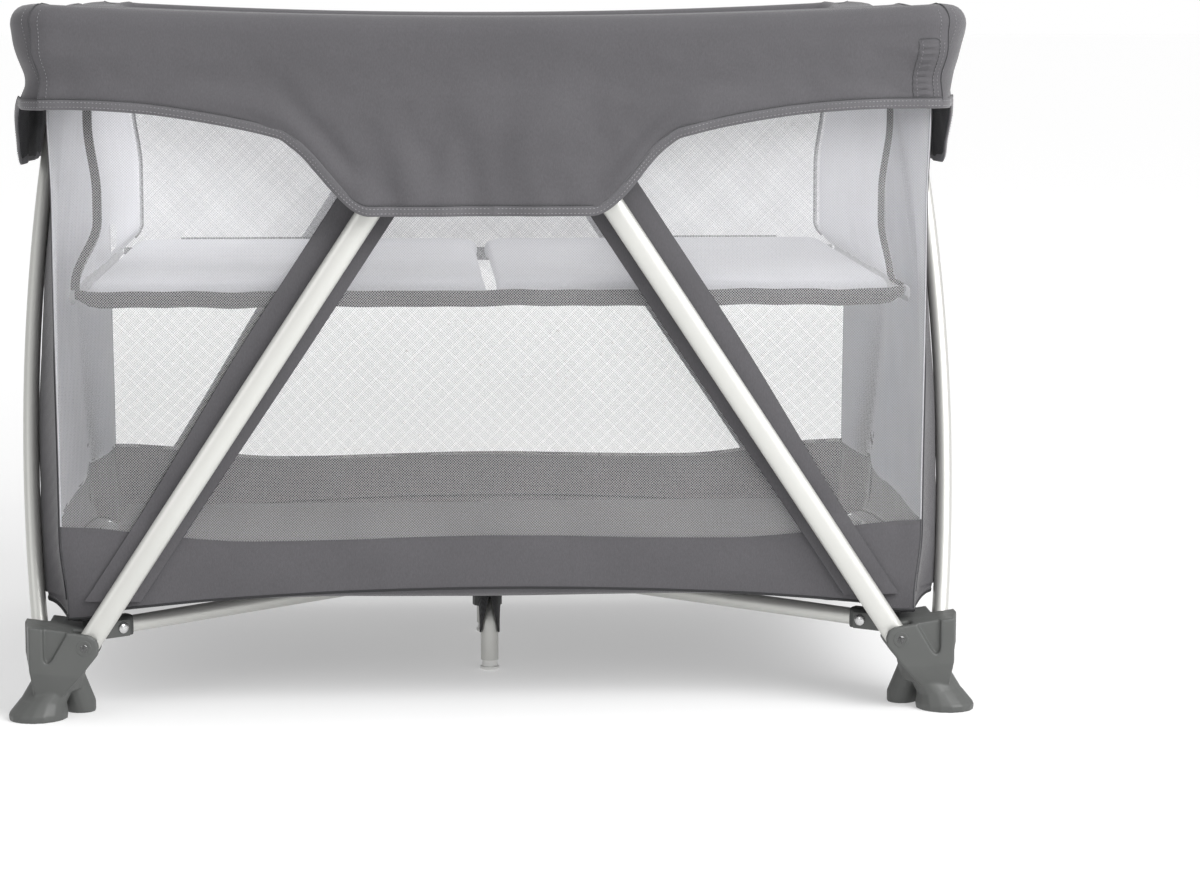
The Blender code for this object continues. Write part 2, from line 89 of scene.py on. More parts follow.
# Top cover
COVER_HALF = Vector((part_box("cover_right")[1].x - 0.0024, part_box("cover_rear")[1].y - 0.0024))
COVER_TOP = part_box("cover_rear")[1].z
COVER_DEPTH = COVER_HALF.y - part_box("cover_rear")[0].y - 0.001
COVER_INNER_Z = 0.700
PLACKET = (0.468, 0.490)
PLACKET_TOP = 0.752
CORNER_RADIUS = 0.050
INNER_RADIUS = 0.020
SEAM_ANGLE = 60
TOP_SAG = 0.014
CORNER_RISE = 0.0065
ROLL = 0.020
WAIST_Z = 0.710
CLOTH = 0.0012

# Walls
WALL_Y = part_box("wall_rear")[1].y
WALL_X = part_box("wall_rear")[1].x
WALL_TOP = 0.715
FLOOR_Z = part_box("floor_cloth")[1].z
BAND_HALF = 0.030
LEG_GAP = 0.0060

# Bassinet
BASSINET_NECK = 0.021
BASSINET_HALF = Vector((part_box("bassinet")[1].x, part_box("bassinet")[1].y))
BASSINET_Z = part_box("bassinet")[0].z
PAD_LOW, PAD_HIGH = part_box("mattress")
PAD_FOLD = 0.190


# Mesh building

class Shape:
    """The points and faces of one piece, with a material number for each face."""

    def __init__(self):
        self.points = []
        self.faces = []
        self.slots = []

    def face(self, corners, slot):
        self.faces.append(tuple(corners))
        self.slots.append(slot)

    def grid(self, rows, slot, around=False):
        """A surface through rows of points. around joins the end of each row to its start."""
        start, wide = len(self.points), len(rows[0])
        for row in rows:
            self.points.extend(tuple(p) for p in row)
        for r in range(len(rows) - 1):
            a = start + r * wide
            for k in range(wide if around else wide - 1):
                n = (k + 1) % wide
                self.face((a + k, a + n, a + wide + n, a + wide + k), slot)
        return start

    def shell(self, rows, thickness, outer, inner):
        """A sheet with real thickness: the rows are one face, and the other lies behind it."""
        face = np.array([[tuple(p) for p in row] for row in rows], float)
        normal = np.cross(np.gradient(face, axis=0), np.gradient(face, axis=1))
        normal /= np.maximum(np.linalg.norm(normal, axis=2, keepdims=True), 1e-12)
        back = face - normal * thickness
        a = self.grid(face.tolist(), outer)
        b = self.grid(back.tolist(), inner)
        high, wide = face.shape[:2]
        edge = [(0, k) for k in range(wide)] + [(r, wide - 1) for r in range(1, high)]
        edge += [(high - 1, k) for k in range(wide - 2, -1, -1)]
        edge += [(r, 0) for r in range(high - 2, 0, -1)]
        for (r0, k0), (r1, k1) in zip(edge, edge[1:] + edge[:1]):
            i, j = r0 * wide + k0, r1 * wide + k1
            self.face((a + i, a + j, b + j, b + i), outer)

    def sweep(self, path, section, side, slot, closed=False):
        """A solid bar along a path. side, one direction or one per point, is where the section's
        first axis points."""
        rings = []
        last = len(path) - 1
        for i, point in enumerate(path):
            before = path[i - 1] if i or closed else path[0]
            after = path[(i + 1) % (last + 1)] if i < last or closed else path[last]
            along = (Vector(after) - Vector(before)).normalized()
            wide = Vector(side[i] if isinstance(side, list) else side)
            up = along.cross(wide).normalized()
            wide = up.cross(along)
            rings.append([Vector(point) + wide * a + up * b for a, b in section])
        if closed:
            rings.append(rings[0])
        start = self.grid(rings, slot, around=True)
        if not closed:
            n = len(section)
            self.face(range(start, start + n), slot)
            self.face(range(start + last * n, start + (last + 1) * n), slot)

    def lathe(self, centre, axis, profile, slot, segments=32):
        """A solid turned round an axis from (distance along it, radius) pairs, closed at both
        ends."""
        axis = Vector(axis).normalized()
        side = axis.orthogonal().normalized()
        up = axis.cross(side)
        rings = []
        for along, radius in profile:
            ring = []
            for k in range(segments):
                angle = math.tau * k / segments
                turned = side * math.cos(angle) + up * math.sin(angle)
                ring.append(Vector(centre) + axis * along + turned * radius)
            rings.append(ring)
        start = self.grid(rings, slot, around=True)
        self.face(range(start, start + segments), slot)
        last = start + (len(rings) - 1) * segments
        self.face(range(last, last + segments), slot)

    def stitches(self, path, outward, slot, pitch=0.0042, length=0.0028, radius=0.00045):
        """A row of thread stitches on a path. outward has a direction for each of its points."""
        pts = np.array([tuple(p) for p in path], float)
        out = np.array([tuple(o) for o in outward], float)
        step = np.linalg.norm(np.diff(pts, axis=0), axis=1)
        run = np.concatenate(([0.0], np.cumsum(step)))
        for at in np.arange(pitch, run[-1] - pitch, pitch):
            ends = []
            for s in (at, at + length):
                ends.append(np.array([np.interp(s, run, pts[:, k]) for k in range(3)]))
            facing = np.array([np.interp(at, run, out[:, k]) for k in range(3)])
            along = (ends[1] - ends[0]) / length
            side = np.cross(along, facing)
            middle = (ends[0] + ends[1]) / 2
            start = len(self.points)
            ring = [middle + side * radius, middle + facing * radius,
                    middle - side * radius, middle - facing * radius]
            self.points.extend(tuple(p) for p in [ends[0], ends[1]] + ring)
            for k in range(4):
                a, b = start + 2 + k, start + 2 + (k + 1) % 4
                self.face((start, a, b), slot)
                self.face((start + 1, b, a), slot)

    def build(self, name, materials, smooth_angle=40):
        mesh = bpy.data.meshes.new(name)
        mesh.from_pydata([tuple(p) for p in self.points], [], self.faces)
        mesh.polygons.foreach_set("material_index", self.slots)
        for mat in materials:
            mesh.materials.append(mat)
        tidy_normals(mesh)
        mesh.shade_smooth()
        mesh.set_sharp_from_angle(angle=math.radians(smooth_angle))
        made = bpy.data.objects.new(name, mesh)
        bpy.context.scene.collection.objects.link(made)
        return made


def tidy_normals(mesh):
    bm = bmesh.new()
    bm.from_mesh(mesh)
    bmesh.ops.recalc_face_normals(bm, faces=bm.faces)
    bm.to_mesh(mesh)
    bm.free()


def ellipse(a, b, segments=20, power=2.0):
    """Points round an oval; a power over 2 squares it off."""
    points = []
    for i in range(segments):
        c, s = math.cos(math.tau * i / segments), math.sin(math.tau * i / segments)
        scale = (abs(c) ** power + abs(s) ** power) ** (-1 / power)
        points.append((a * scale * c, b * scale * s))
    return points


def smooth(t):
    t = min(max(t, 0.0), 1.0)
    return t * t * (3 - 2 * t)


def ripple(x, y, z):
    """Smooth noise between about -1 and 1."""
    return noise.noise(Vector((x, y, z)))


def at_corner(point, corner):
    sx, sy = CORNERS[corner]
    return Vector((point[0] * sx, point[1] * sy, point[2]))


def applied(obj, name):
    """A new object with obj's modifiers baked into its mesh; obj is removed."""
    graph = bpy.context.evaluated_depsgraph_get()
    graph.update()
    mesh = bpy.data.meshes.new_from_object(obj.evaluated_get(graph), depsgraph=graph)
    made = bpy.data.objects.new(name, mesh)
    bpy.context.scene.collection.objects.link(made)
    old = obj.data
    bpy.data.objects.remove(obj)
    bpy.data.meshes.remove(old)
    mesh.name = name
    made.name = name
    return made


# Materials

class Graph:
    """A Principled material with a few helpers for wiring procedural nodes into it."""

    def __init__(self, name, roughness, metallic=0.0, sheen=0.0):
        self.material = bpy.data.materials.new(name)
        self.material.use_nodes = True
        self.tree = self.material.node_tree
        self.shader = self.tree.nodes["Principled BSDF"]
        self.set("Roughness", roughness)
        self.set("Metallic", metallic)
        if sheen:
            self.set("Sheen Weight", sheen)
            self.set("Sheen Roughness", 0.45)
        self.place = self.tree.nodes.new("ShaderNodeTexCoord").outputs["Object"]

    def set(self, name, value):
        socket = self.shader.inputs[name]
        if isinstance(value, bpy.types.NodeSocket):
            self.tree.links.new(value, socket)
        else:
            socket.default_value = value

    def feed(self, socket, value):
        if isinstance(value, bpy.types.NodeSocket):
            self.tree.links.new(value, socket)
        else:
            socket.default_value = value

    def math(self, operation, a, b=0.0):
        node = self.tree.nodes.new("ShaderNodeMath")
        node.operation = operation
        self.feed(node.inputs[0], a)
        self.feed(node.inputs[1], b)
        return node.outputs[0]

    def along(self, direction):
        """How far the shaded point lies along a direction."""
        node = self.tree.nodes.new("ShaderNodeVectorMath")
        node.operation = "DOT_PRODUCT"
        self.feed(node.inputs[0], self.place)
        node.inputs[1].default_value = direction
        return node.outputs["Value"]

    def noise(self, scale, detail=2.0, stretch=(1, 1, 1)):
        mapping = self.tree.nodes.new("ShaderNodeMapping")
        mapping.inputs["Scale"].default_value = stretch
        self.feed(mapping.inputs["Vector"], self.place)
        node = self.tree.nodes.new("ShaderNodeTexNoise")
        node.inputs["Scale"].default_value = scale
        node.inputs["Detail"].default_value = detail
        self.feed(node.inputs["Vector"], mapping.outputs[0])
        return node.outputs["Fac"]

    def ramp(self, value, low, high, dark, light):
        """A colour between dark and light as value runs from low to high."""
        span = self.tree.nodes.new("ShaderNodeMapRange")
        self.feed(span.inputs["Value"], value)
        span.inputs["From Min"].default_value = low
        span.inputs["From Max"].default_value = high
        mix = self.tree.nodes.new("ShaderNodeMix")
        mix.data_type = "RGBA"
        self.feed(mix.inputs[0], span.outputs[0])
        mix.inputs[6].default_value = (*dark, 1)
        mix.inputs[7].default_value = (*light, 1)
        return mix.outputs[2]

    def multiply(self, a, b):
        mix = self.tree.nodes.new("ShaderNodeMix")
        mix.data_type = "RGBA"
        mix.blend_type = "MULTIPLY"
        mix.inputs[0].default_value = 1.0
        self.feed(mix.inputs[6], a)
        self.feed(mix.inputs[7], b)
        return mix.outputs[2]

    def bump(self, height, strength, distance):
        node = self.tree.nodes.new("ShaderNodeBump")
        node.inputs["Strength"].default_value = strength
        node.inputs["Distance"].default_value = distance
        self.feed(node.inputs["Height"], height)
        if self.shader.inputs["Normal"].is_linked:
            self.feed(node.inputs["Normal"], self.shader.inputs["Normal"].links[0].from_socket)
        self.set("Normal", node.outputs[0])

    def weave(self, pitch):
        """The height of a plain weave on upright cloth, -1 to 1."""
        turn = math.tau / pitch
        warp = self.math("SINE", self.math("MULTIPLY", self.along((1, 0.93, 0)), turn))
        weft = self.math("SINE", self.math("MULTIPLY", self.along((0, 0.28, 1)), turn))
        return self.math("MULTIPLY", warp, weft)


def shades(colour, low, high):
    return tuple(c * low for c in colour), tuple(c * high for c in colour)


def cloth_material(name, colour, pitch=0.0011, sheen=0.25, roughness=0.78):
    """Woven cloth: a plain weave, uneven dye and a soft sheen."""
    g = Graph(name, roughness, sheen=sheen)
    mottle = g.ramp(g.noise(7, 4), 0.3, 0.7, *shades(colour, 0.93, 1.06))
    fibre = g.ramp(g.noise(900, 2, (1, 1, 0.35)), 0.25, 0.75, (0.86,) * 3, (1.1,) * 3)
    weave = g.weave(pitch)
    threads = g.ramp(weave, -1, 1, (0.90,) * 3, (1.06,) * 3)
    g.set("Base Color", g.multiply(g.multiply(mottle, fibre), threads))
    g.bump(weave, 0.35, 0.0002)
    g.bump(g.noise(60, 3), 0.12, 0.0012)
    return g.material


def mesh_material(name, colour, level_axis, pitch, hole):
    """Open knitted mesh: a diamond lattice of threads with see-through holes. Seen along the
    cloth, the thickness of the threads closes the holes."""
    g = Graph(name, 0.8, sheen=0.2)
    shape = g.tree.nodes.new("ShaderNodeNewGeometry")
    facing = g.tree.nodes.new("ShaderNodeVectorMath")
    facing.operation = "DOT_PRODUCT"
    g.feed(facing.inputs[0], shape.outputs["Normal"])
    g.feed(facing.inputs[1], shape.outputs["Incoming"])
    opening = g.tree.nodes.new("ShaderNodeMapRange")
    opening.interpolation_type = "SMOOTHSTEP"
    g.feed(opening.inputs["Value"], g.math("ABSOLUTE", facing.outputs["Value"]))
    opening.inputs["From Min"].default_value = 0.24
    opening.inputs["From Max"].default_value = 0.62
    half_hole = g.math("MULTIPLY", opening.outputs[0], hole / 2)
    level = g.along(level_axis)
    height = g.along((0, 0, 1))
    covered = None
    for sign in (1, -1):
        line = g.math("ADD", level, g.math("MULTIPLY", height, sign))
        cell = g.math("FRACT", g.math("DIVIDE", line, pitch))
        off = g.math("ABSOLUTE", g.math("SUBTRACT", cell, 0.5))
        thread = g.math("GREATER_THAN", off, half_hole)
        covered = thread if covered is None else g.math("MAXIMUM", covered, thread)
    g.set("Base Color", g.ramp(g.noise(14, 3), 0.3, 0.7, *shades(colour, 0.95, 1.05)))
    g.set("Alpha", covered)
    return g.material


def tube_material(name, colour):
    """Satin anodised tube with faint drawing lines."""
    g = Graph(name, 0.42, metallic=0.6)
    g.set("Base Color", g.ramp(g.noise(5, 3), 0.3, 0.7, *shades(colour, 0.96, 1.04)))
    g.set("Roughness", g.math("ADD", g.math("MULTIPLY", g.noise(180, 3), 0.14), 0.37))
    g.bump(g.noise(2600, 2), 0.10, 0.0001)
    return g.material


def plastic_material(name, colour, roughness=0.5, grain=0.25):
    """Moulded plastic with a fine spark-eroded grain."""
    g = Graph(name, roughness)
    g.set("Base Color", g.ramp(g.noise(18, 4), 0.3, 0.7, *shades(colour, 0.93, 1.07)))
    g.set("Roughness", g.math("ADD", g.math("MULTIPLY", g.noise(90, 3), 0.2), roughness - 0.1))
    g.bump(g.noise(1700, 2), grain, 0.00015)
    g.bump(g.noise(25, 2), 0.06, 0.001)
    return g.material


def steel_material(name, level):
    g = Graph(name, 0.25, metallic=1.0)
    g.set("Base Color", g.ramp(g.noise(200, 3), 0.3, 0.7, *shades((level,) * 3, 0.85, 1.15)))
    g.set("Roughness", g.math("ADD", g.math("MULTIPLY", g.noise(500, 2), 0.25), 0.14))
    return g.material


def webbing_material(name, colour):
    """Ribbed webbing."""
    g = Graph(name, 0.8, sheen=0.2)
    rib = g.math("SINE", g.math("MULTIPLY", g.along((0.7, 0.7, 0.25)), math.tau / 0.0016))
    g.set("Base Color", g.ramp(rib, -1, 1, *shades(colour, 0.7, 1.3)))
    g.bump(rib, 0.4, 0.0004)
    return g.material


def make_materials():
    return {
        "cover": cloth_material("cover_cloth", (0.0765, 0.0735, 0.0800)),
        # The cover's inner face is painted near-black, far darker than the cloth, as painted shade for
        # the inside of the hanging flaps; the piping at the foot of the wall bands is drawn in the same
        # near-black painted shade.
        "painted_shade_lining": cloth_material("cover_painted_shade_lining", (0.016, 0.016, 0.018), sheen=0.1),
        "binding": cloth_material("binding_tape", (0.098, 0.095, 0.102), pitch=0.0016),
        "thread": cloth_material("sewing_thread", (0.26, 0.26, 0.27), pitch=0.0006),
        # The dark seam thread also draws two painted shade lines: one above the hem tape, and one where
        # the mattress meets the bassinet's rear wall.
        "dark_thread_and_shade_line": cloth_material("seam_thread_and_shade_line", (0.045, 0.045, 0.049), pitch=0.0006),
        "mesh_x": mesh_material("wall_mesh_long", (0.52, 0.52, 0.53), (1, 0, 0), 0.0030, 0.85),
        "mesh_y": mesh_material("wall_mesh_short", (0.72, 0.72, 0.75), (0, 1, 0), 0.0030, 0.83),
        "fine_x": mesh_material("bassinet_mesh_long", (0.78, 0.78, 0.81), (1, 0, 0), 0.0013, 0.84),
        "fine_y": mesh_material("bassinet_mesh_short", (0.78, 0.78, 0.82), (0, 1, 0), 0.0013, 0.82),
        "pale_tape": cloth_material("mesh_tape", (0.40, 0.40, 0.42), pitch=0.0014),
        "pad": cloth_material("pad_cloth", (0.66, 0.66, 0.70), pitch=0.0015, sheen=0.35),
        "trim": cloth_material("trim_tape", (0.044, 0.043, 0.047), pitch=0.0014),
        "tube": tube_material("satin_tube", (0.60, 0.60, 0.575)),
        "foot": plastic_material("grey_moulding", (0.080, 0.083, 0.080)),
        "bracket": plastic_material("dark_moulding", (0.052, 0.054, 0.053)),
        "cap": plastic_material("pale_moulding", (0.80, 0.80, 0.78), 0.45, 0.1),
        "steel": steel_material("plated_steel", 0.60),
        "screw": steel_material("blackened_screw", 0.13),
        "webbing": webbing_material("black_webbing", (0.022, 0.022, 0.024)),
    }


MAT = make_materials()


def piece(shape, name, materials, body, stands_for=(), angle=40):
    """Builds a shape and rides it on a body."""
    made = shape.build(name, [MAT[m] for m in materials], angle)
    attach(made, body)
    return dress(made, stands_for)


def dress(made, stands_for):
    if stands_for:
        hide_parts(*stands_for)
    return made


# Tubes: legs, rails and floor arms

def straight(start, end, before, after, steps=2):
    along = (end - start).normalized()
    a, b = start - along * before, end + along * after
    return [a.lerp(b, i / (steps - 1)) for i in range(steps)]


def hollow_bar(path, across, section, wall=0.0014):
    """A tube with an open bore at each end."""
    shape = Shape()
    bore = [(a * (1 - wall / 0.009), b * (1 - wall / 0.009)) for a, b in section]
    rings = []
    for ring_section in (section, bore):
        part = Shape()
        part.sweep(path, ring_section, across, 0)
        part.faces = part.faces[:-2]
        rings.append(part)
    n = len(section)
    for part in rings:
        base = len(shape.points)
        shape.points += part.points
        for face in part.faces:
            shape.face([base + v for v in face], 0)
    offset = len(rings[0].points)
    for end in (0, (len(path) - 1) * n):
        for k in range(n):
            a, b = end + k, end + (k + 1) % n
            shape.face((a, b, b + offset, a + offset), 0)
    return shape


def short_leg_point(t):
    """A point of the bowed short-side leg in the +X +Y quarter: t is 0 at the foot's pivot and 1
    at the hub's."""
    point = SHORT_FOOT.lerp(SHORT_TOP, t)
    point.x += SHORT_BOW * 4 * t * (1 - t)
    return point


def make_legs():
    section = ellipse(LEG_THICK / 2, LEG_WIDE / 2, 28, 2.5)
    length = (SHORT_TOP - SHORT_FOOT).length
    for corner in CORNERS:
        foot, top = at_corner(LONG_FOOT, corner), at_corner(LONG_TOP, corner)
        path = straight(foot, top, LONG_LEG_OVERRUN, LEG_OVERRUN, 12)
        leg = hollow_bar(path, (0, 1, 0), section)
        piece(leg, f"leg_long_{corner}", ["tube"], f"long_leg_{corner}",
              [f"long_leg_{corner}"])
        extra = LEG_OVERRUN / length
        path = [at_corner(short_leg_point(-extra + (1 + 2 * extra) * i / 24), corner)
                for i in range(25)]
        leg = hollow_bar(path, (1, 0, 0), section)
        piece(leg, f"leg_short_{corner}", ["tube"], f"short_leg_{corner}",
              [f"short_leg_{corner}"])


def make_rails():
    section = ellipse(RAIL_RADIUS, RAIL_RADIUS, 28)
    for corner in CORNERS:
        start = at_corner(LONG_RAIL, corner)
        end = at_corner((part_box("long_rail_rr")[1].x, LONG_RAIL.y, LONG_RAIL.z), corner)
        rail = hollow_bar(straight(start, end, RAIL_RADIUS, 0, 8), (0, 1, 0), section)
        piece(rail, f"rail_long_{corner}", ["tube"], f"long_rail_{corner}",
              [f"long_rail_{corner}"])
        start = at_corner(SHORT_RAIL, corner)
        end = at_corner((SHORT_RAIL.x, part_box("short_rail_rr")[1].y, SHORT_RAIL.z), corner)
        rail = hollow_bar(straight(start, end, RAIL_RADIUS, 0, 6), (1, 0, 0), section)
        piece(rail, f"rail_short_{corner}", ["tube"], f"short_rail_{corner}",
              [f"short_rail_{corner}"])


def make_arms():
    outward = Vector((ARM_FOOT.x, ARM_FOOT.y, 0)).normalized()
    across = Vector((-outward.y, outward.x, 0))
    section = ellipse(ARM_RADIUS, ARM_RADIUS, 28)
    for corner in CORNERS:
        foot, hub = at_corner(ARM_FOOT, corner), at_corner(ARM_HUB, corner)
        side = at_corner(across, corner)
        arm = hollow_bar(straight(foot, hub, ARM_OVERRUN, ARM_OVERRUN, 10), side, section)
        piece(arm, f"arm_{corner}", ["tube"], f"arm_{corner}", [f"floor_arm_{corner}"])
        sleeve = Shape()
        inward = (hub - foot).normalized()
        section_box = ellipse(0.0101, 0.0118, 32, 5.0)
        path = [foot + inward * d for d in (-0.0085, -0.0075, 0.0, 0.008, 0.0150, 0.0160)]
        sleeve.sweep(path, section_box, side, 0)
        sleeve.lathe(foot + inward * 0.023 - side * ARM_RADIUS * 1.02, -side,
                     [(-0.002, 0.0026), (0.0002, 0.0026), (0.0007, 0.0018), (0.0008, 0.0004)], 1)
        piece(sleeve, f"arm_end_{corner}", ["bracket", "steel"], f"arm_{corner}", ())
        bolt = Shape()
        for way in (-1, 1):
            head = foot + side * way * 0.0146
            bolt.lathe(head, side * way, [(-0.004, 0.0038), (0.0, 0.0038), (0.0002, 0.0062),
                                          (0.0012, 0.0064), (0.0028, 0.0050), (0.0036, 0.0026),
                                          (0.0038, 0.0006)], 0)
        piece(bolt, f"arm_bolt_{corner}", ["steel"], f"foot_{corner}", [f"arm_pin_{corner}"])


# Feet

def hull_object(points):
    bm = bmesh.new()
    verts = [bm.verts.new(p) for p in points]
    bmesh.ops.convex_hull(bm, input=verts)
    mesh = bpy.data.meshes.new("hull")
    bm.to_mesh(mesh)
    bm.free()
    made = bpy.data.objects.new("hull", mesh)
    bpy.context.scene.collection.objects.link(made)
    return made


def oval_points(cx, cy, z, rx, ry, turn=0.0, segments=16):
    points = []
    for i in range(segments):
        a = math.tau * i / segments
        x, y = rx * math.cos(a), ry * math.sin(a)
        points.append((cx + x * math.cos(turn) - y * math.sin(turn),
                       cy + x * math.sin(turn) + y * math.cos(turn), z))
    return points


def foot_solids():
    """Convex lumps that together make a foot in the +X +Y quarter."""
    outline = ((0.5240, 0.1068), (0.4990, 0.1030), (0.4760, 0.0990), (0.4500, 0.0965),
               (0.4420, 0.0920), (0.4392, 0.0840), (0.4400, 0.0750), (0.4455, 0.0680),
               (0.4600, 0.0500), (0.5215, 0.0560), (0.5240, 0.0720))
    ankle = ((0.4720, 0.0360), (0.4820, 0.0260), (0.5120, 0.0240), (0.5180, 0.0380))
    housing = [(x, 0.3400, z) for x, z in outline + ankle]
    housing += [(min(x, 0.5160), 0.3885, z) for x, z in outline]
    housing += [(min(x, 0.5110), 0.3800, z) for x, z in ankle]
    back = [(x, y, z) for x, z in outline if x > 0.4450 for y in (0.2900, 0.3500)]
    neck = oval_points(0.4885, 0.3450, 0.060, 0.0330, 0.0400)
    neck += oval_points(0.4885, 0.3450, 0.030, 0.0265, 0.0330)
    turn = math.radians(40)
    sole = oval_points(0.5090, 0.3665, 0.0000, 0.0335, 0.0310, turn)
    sole += oval_points(0.5090, 0.3665, 0.0070, 0.0340, 0.0315, turn)
    sole += oval_points(0.5040, 0.3620, 0.0220, 0.0250, 0.0260, turn)
    instep = oval_points(0.5050, 0.3630, 0.0170, 0.0270, 0.0270, turn)
    instep += oval_points(0.4905, 0.3500, 0.0440, 0.0225, 0.0290, turn)
    heel = oval_points(0.4665, 0.3260, 0.0000, 0.0170, 0.0190, turn)
    heel += oval_points(0.4665, 0.3260, 0.0120, 0.0170, 0.0190, turn)
    heel += oval_points(0.4790, 0.3370, 0.0460, 0.0180, 0.0210, turn)
    return housing, back, neck, sole, instep, heel


def foot_cuts():
    """The two slots for the legs, and the shallow V pressed in the front face."""
    def block(low, high):
        return [(x, y, z) for x in (low[0], high[0]) for y in (low[1], high[1])
                for z in (low[2], high[2])]

    half = LEG_THICK / 2 + 0.0012
    floor = LONG_FOOT.z - 0.019
    long_slot = block((0.380, LONG_FOOT.y - half, floor),
                      (LONG_FOOT.x + 0.019, LONG_FOOT.y + half, 0.2))
    short_slot = block((SHORT_FOOT.x - half - 0.002, 0.240, floor),
                       (SHORT_FOOT.x + half + 0.0045, SHORT_FOOT.y + 0.019, 0.2))
    vee = ((0.5005, 0.115), (0.5005, 0.0725), (0.4985, 0.0665), (0.4950, 0.0655),
           (0.4915, 0.0690), (0.4745, 0.0980), (0.4745, 0.115))
    front_vee = [(x, y, z) for x, z in vee for y in (0.3832, 0.4000)]
    return long_slot, short_slot, front_vee


def boolean(target, tool, operation):
    step = target.modifiers.new(operation, "BOOLEAN")
    step.operation = operation
    step.solver = "EXACT"
    step.object = tool


def foot_mesh():
    """One foot, sculpted from the lumps: joined, cut, then rounded by a fine remesh."""
    lumps = [hull_object(points) for points in foot_solids()]
    cuts = [hull_object(points) for points in foot_cuts()]
    body = lumps[0]
    for lump in lumps[1:]:
        boolean(body, lump, "UNION")
    for cut in cuts:
        boolean(body, cut, "DIFFERENCE")
    remesh = body.modifiers.new("remesh", "REMESH")
    remesh.mode = "VOXEL"
    remesh.voxel_size = 0.0013
    soft = body.modifiers.new("soft", "SMOOTH")
    soft.factor = 0.5
    soft.iterations = 6
    made = applied(body, "foot_form")
    for tool in lumps[1:] + cuts:
        bpy.data.objects.remove(tool)
    mesh = made.data
    bpy.data.objects.remove(made)
    return mesh


def make_feet():
    form = foot_mesh()
    for corner, (sx, sy) in CORNERS.items():
        mesh = form.copy()
        mesh.transform(Matrix.Diagonal((sx, sy, 1, 1)))
        if sx * sy < 0:
            mesh.flip_normals()
        mesh.materials.clear()
        mesh.materials.append(MAT["foot"])
        mesh.shade_smooth()
        foot = bpy.data.objects.new(f"foot_body_{corner}", mesh)
        bpy.context.scene.collection.objects.link(foot)
        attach(foot, f"foot_{corner}")
        dress(foot, [f"foot_{corner}"])
        make_foot_details(corner)


def make_foot_details(corner):
    """Lugs for the floor arm and the screw bosses over the legs' pivots."""
    outward = Vector((ARM_FOOT.x, ARM_FOOT.y, 0)).normalized()
    across = at_corner(Vector((-outward.y, outward.x, 0)), corner)
    outward = at_corner(outward, corner)
    pivot = at_corner(ARM_FOOT, corner)
    lugs = Shape()
    for way in (-1, 1):
        middle = pivot + across * way * 0.0127
        path = [middle + outward * d + Vector((0, 0, -0.001)) for d in (-0.009, -0.0075, 0.02, 0.036)]
        lugs.sweep(path, ellipse(0.0019, 0.0095, 24, 4.0), across, 0)
    piece(lugs, f"foot_lugs_{corner}", ["foot"], f"foot_{corner}", ())
    bosses = Shape()
    faces = ((at_corner((LONG_FOOT.x + 0.005, 0.3880, LONG_FOOT.z - 0.004), corner),
              Vector((0, CORNERS[corner][1], 0))),
             (at_corner((0.5237, SHORT_FOOT.y + 0.002, SHORT_FOOT.z - 0.003), corner),
              Vector((CORNERS[corner][0], 0, 0))))
    for centre, facing in faces:
        bosses.lathe(centre, facing, [(-0.004, 0.0088), (0.0004, 0.0088), (0.0010, 0.0082),
                                      (0.0010, 0.0060), (-0.0006, 0.0054), (-0.0008, 0.0010)], 0)
        bosses.lathe(centre, facing, [(-0.003, 0.0046), (-0.0002, 0.0046), (0.0006, 0.0040),
                                      (0.0010, 0.0024), (0.0011, 0.0006)], 1)
        side = facing.cross(Vector((0, 0, 1)))
        # Each screw head gets a cross of raised dark bars: painted shade standing for the cross recess.
        for direction in (side, Vector((0, 0, 1))):
            recess_shade = [centre + facing * 0.00105 + direction * d for d in (-0.0024, 0.0024)]
            bosses.sweep(recess_shade, ellipse(0.0004, 0.0005, 8), facing, 2)
    piece(bosses, f"foot_screws_{corner}", ["foot", "screw", "bracket"], f"foot_{corner}",
          [f"long_leg_pin_{corner}", f"short_leg_pin_{corner}"])


# Hubs, corner blocks and the centre leg

def make_hardware():
    for side in ("front", "rear", "left", "right"):
        paint(f"hub_{side}", "bracket")
    for corner in CORNERS:
        paint(f"corner_block_{corner}", "bracket")
    paint("centre_hub", "bracket")
    make_centre_leg()


def make_centre_leg():
    """A tube bent like a staple through the hub's stem, with a pale foot on each end."""
    low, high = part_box("centre_leg")
    radius = high.x
    reach, top = high.y - radius, high.z - radius
    half = [Vector((0, reach, low.z)), Vector((0, reach, (low.z + top - CENTRE_BEND) / 2))]
    for i in range(9):
        angle = math.radians(90) * i / 8
        half.append(Vector((0, reach - CENTRE_BEND * (1 - math.cos(angle)),
                            top - CENTRE_BEND * (1 - math.sin(angle)))))
    path = [Vector((0, -p.y, p.z)) for p in half] + half[::-1]
    leg = hollow_bar(path, (1, 0, 0), ellipse(radius, radius, 32))
    piece(leg, "centre_leg_tube", ["tube"], "centre_hub", ["centre_leg"])
    for name, sign in (("front", -1), ("rear", 1)):
        cap = Shape()
        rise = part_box(f"centre_leg_cap_{name}")[1].z
        r = radius + 0.0007
        cap.lathe((0, sign * reach, 0), (0, 0, 1),
                  [(0.0, r * 0.86), (0.0010, r * 0.97), (0.0022, r), (0.0040, r),
                   (0.0044, radius * 0.9), (rise, radius * 0.86)], 0)
        piece(cap, f"centre_leg_foot_{name}", ["cap"], "centre_hub", [f"centre_leg_cap_{name}"])
    make_strap(-reach, radius)


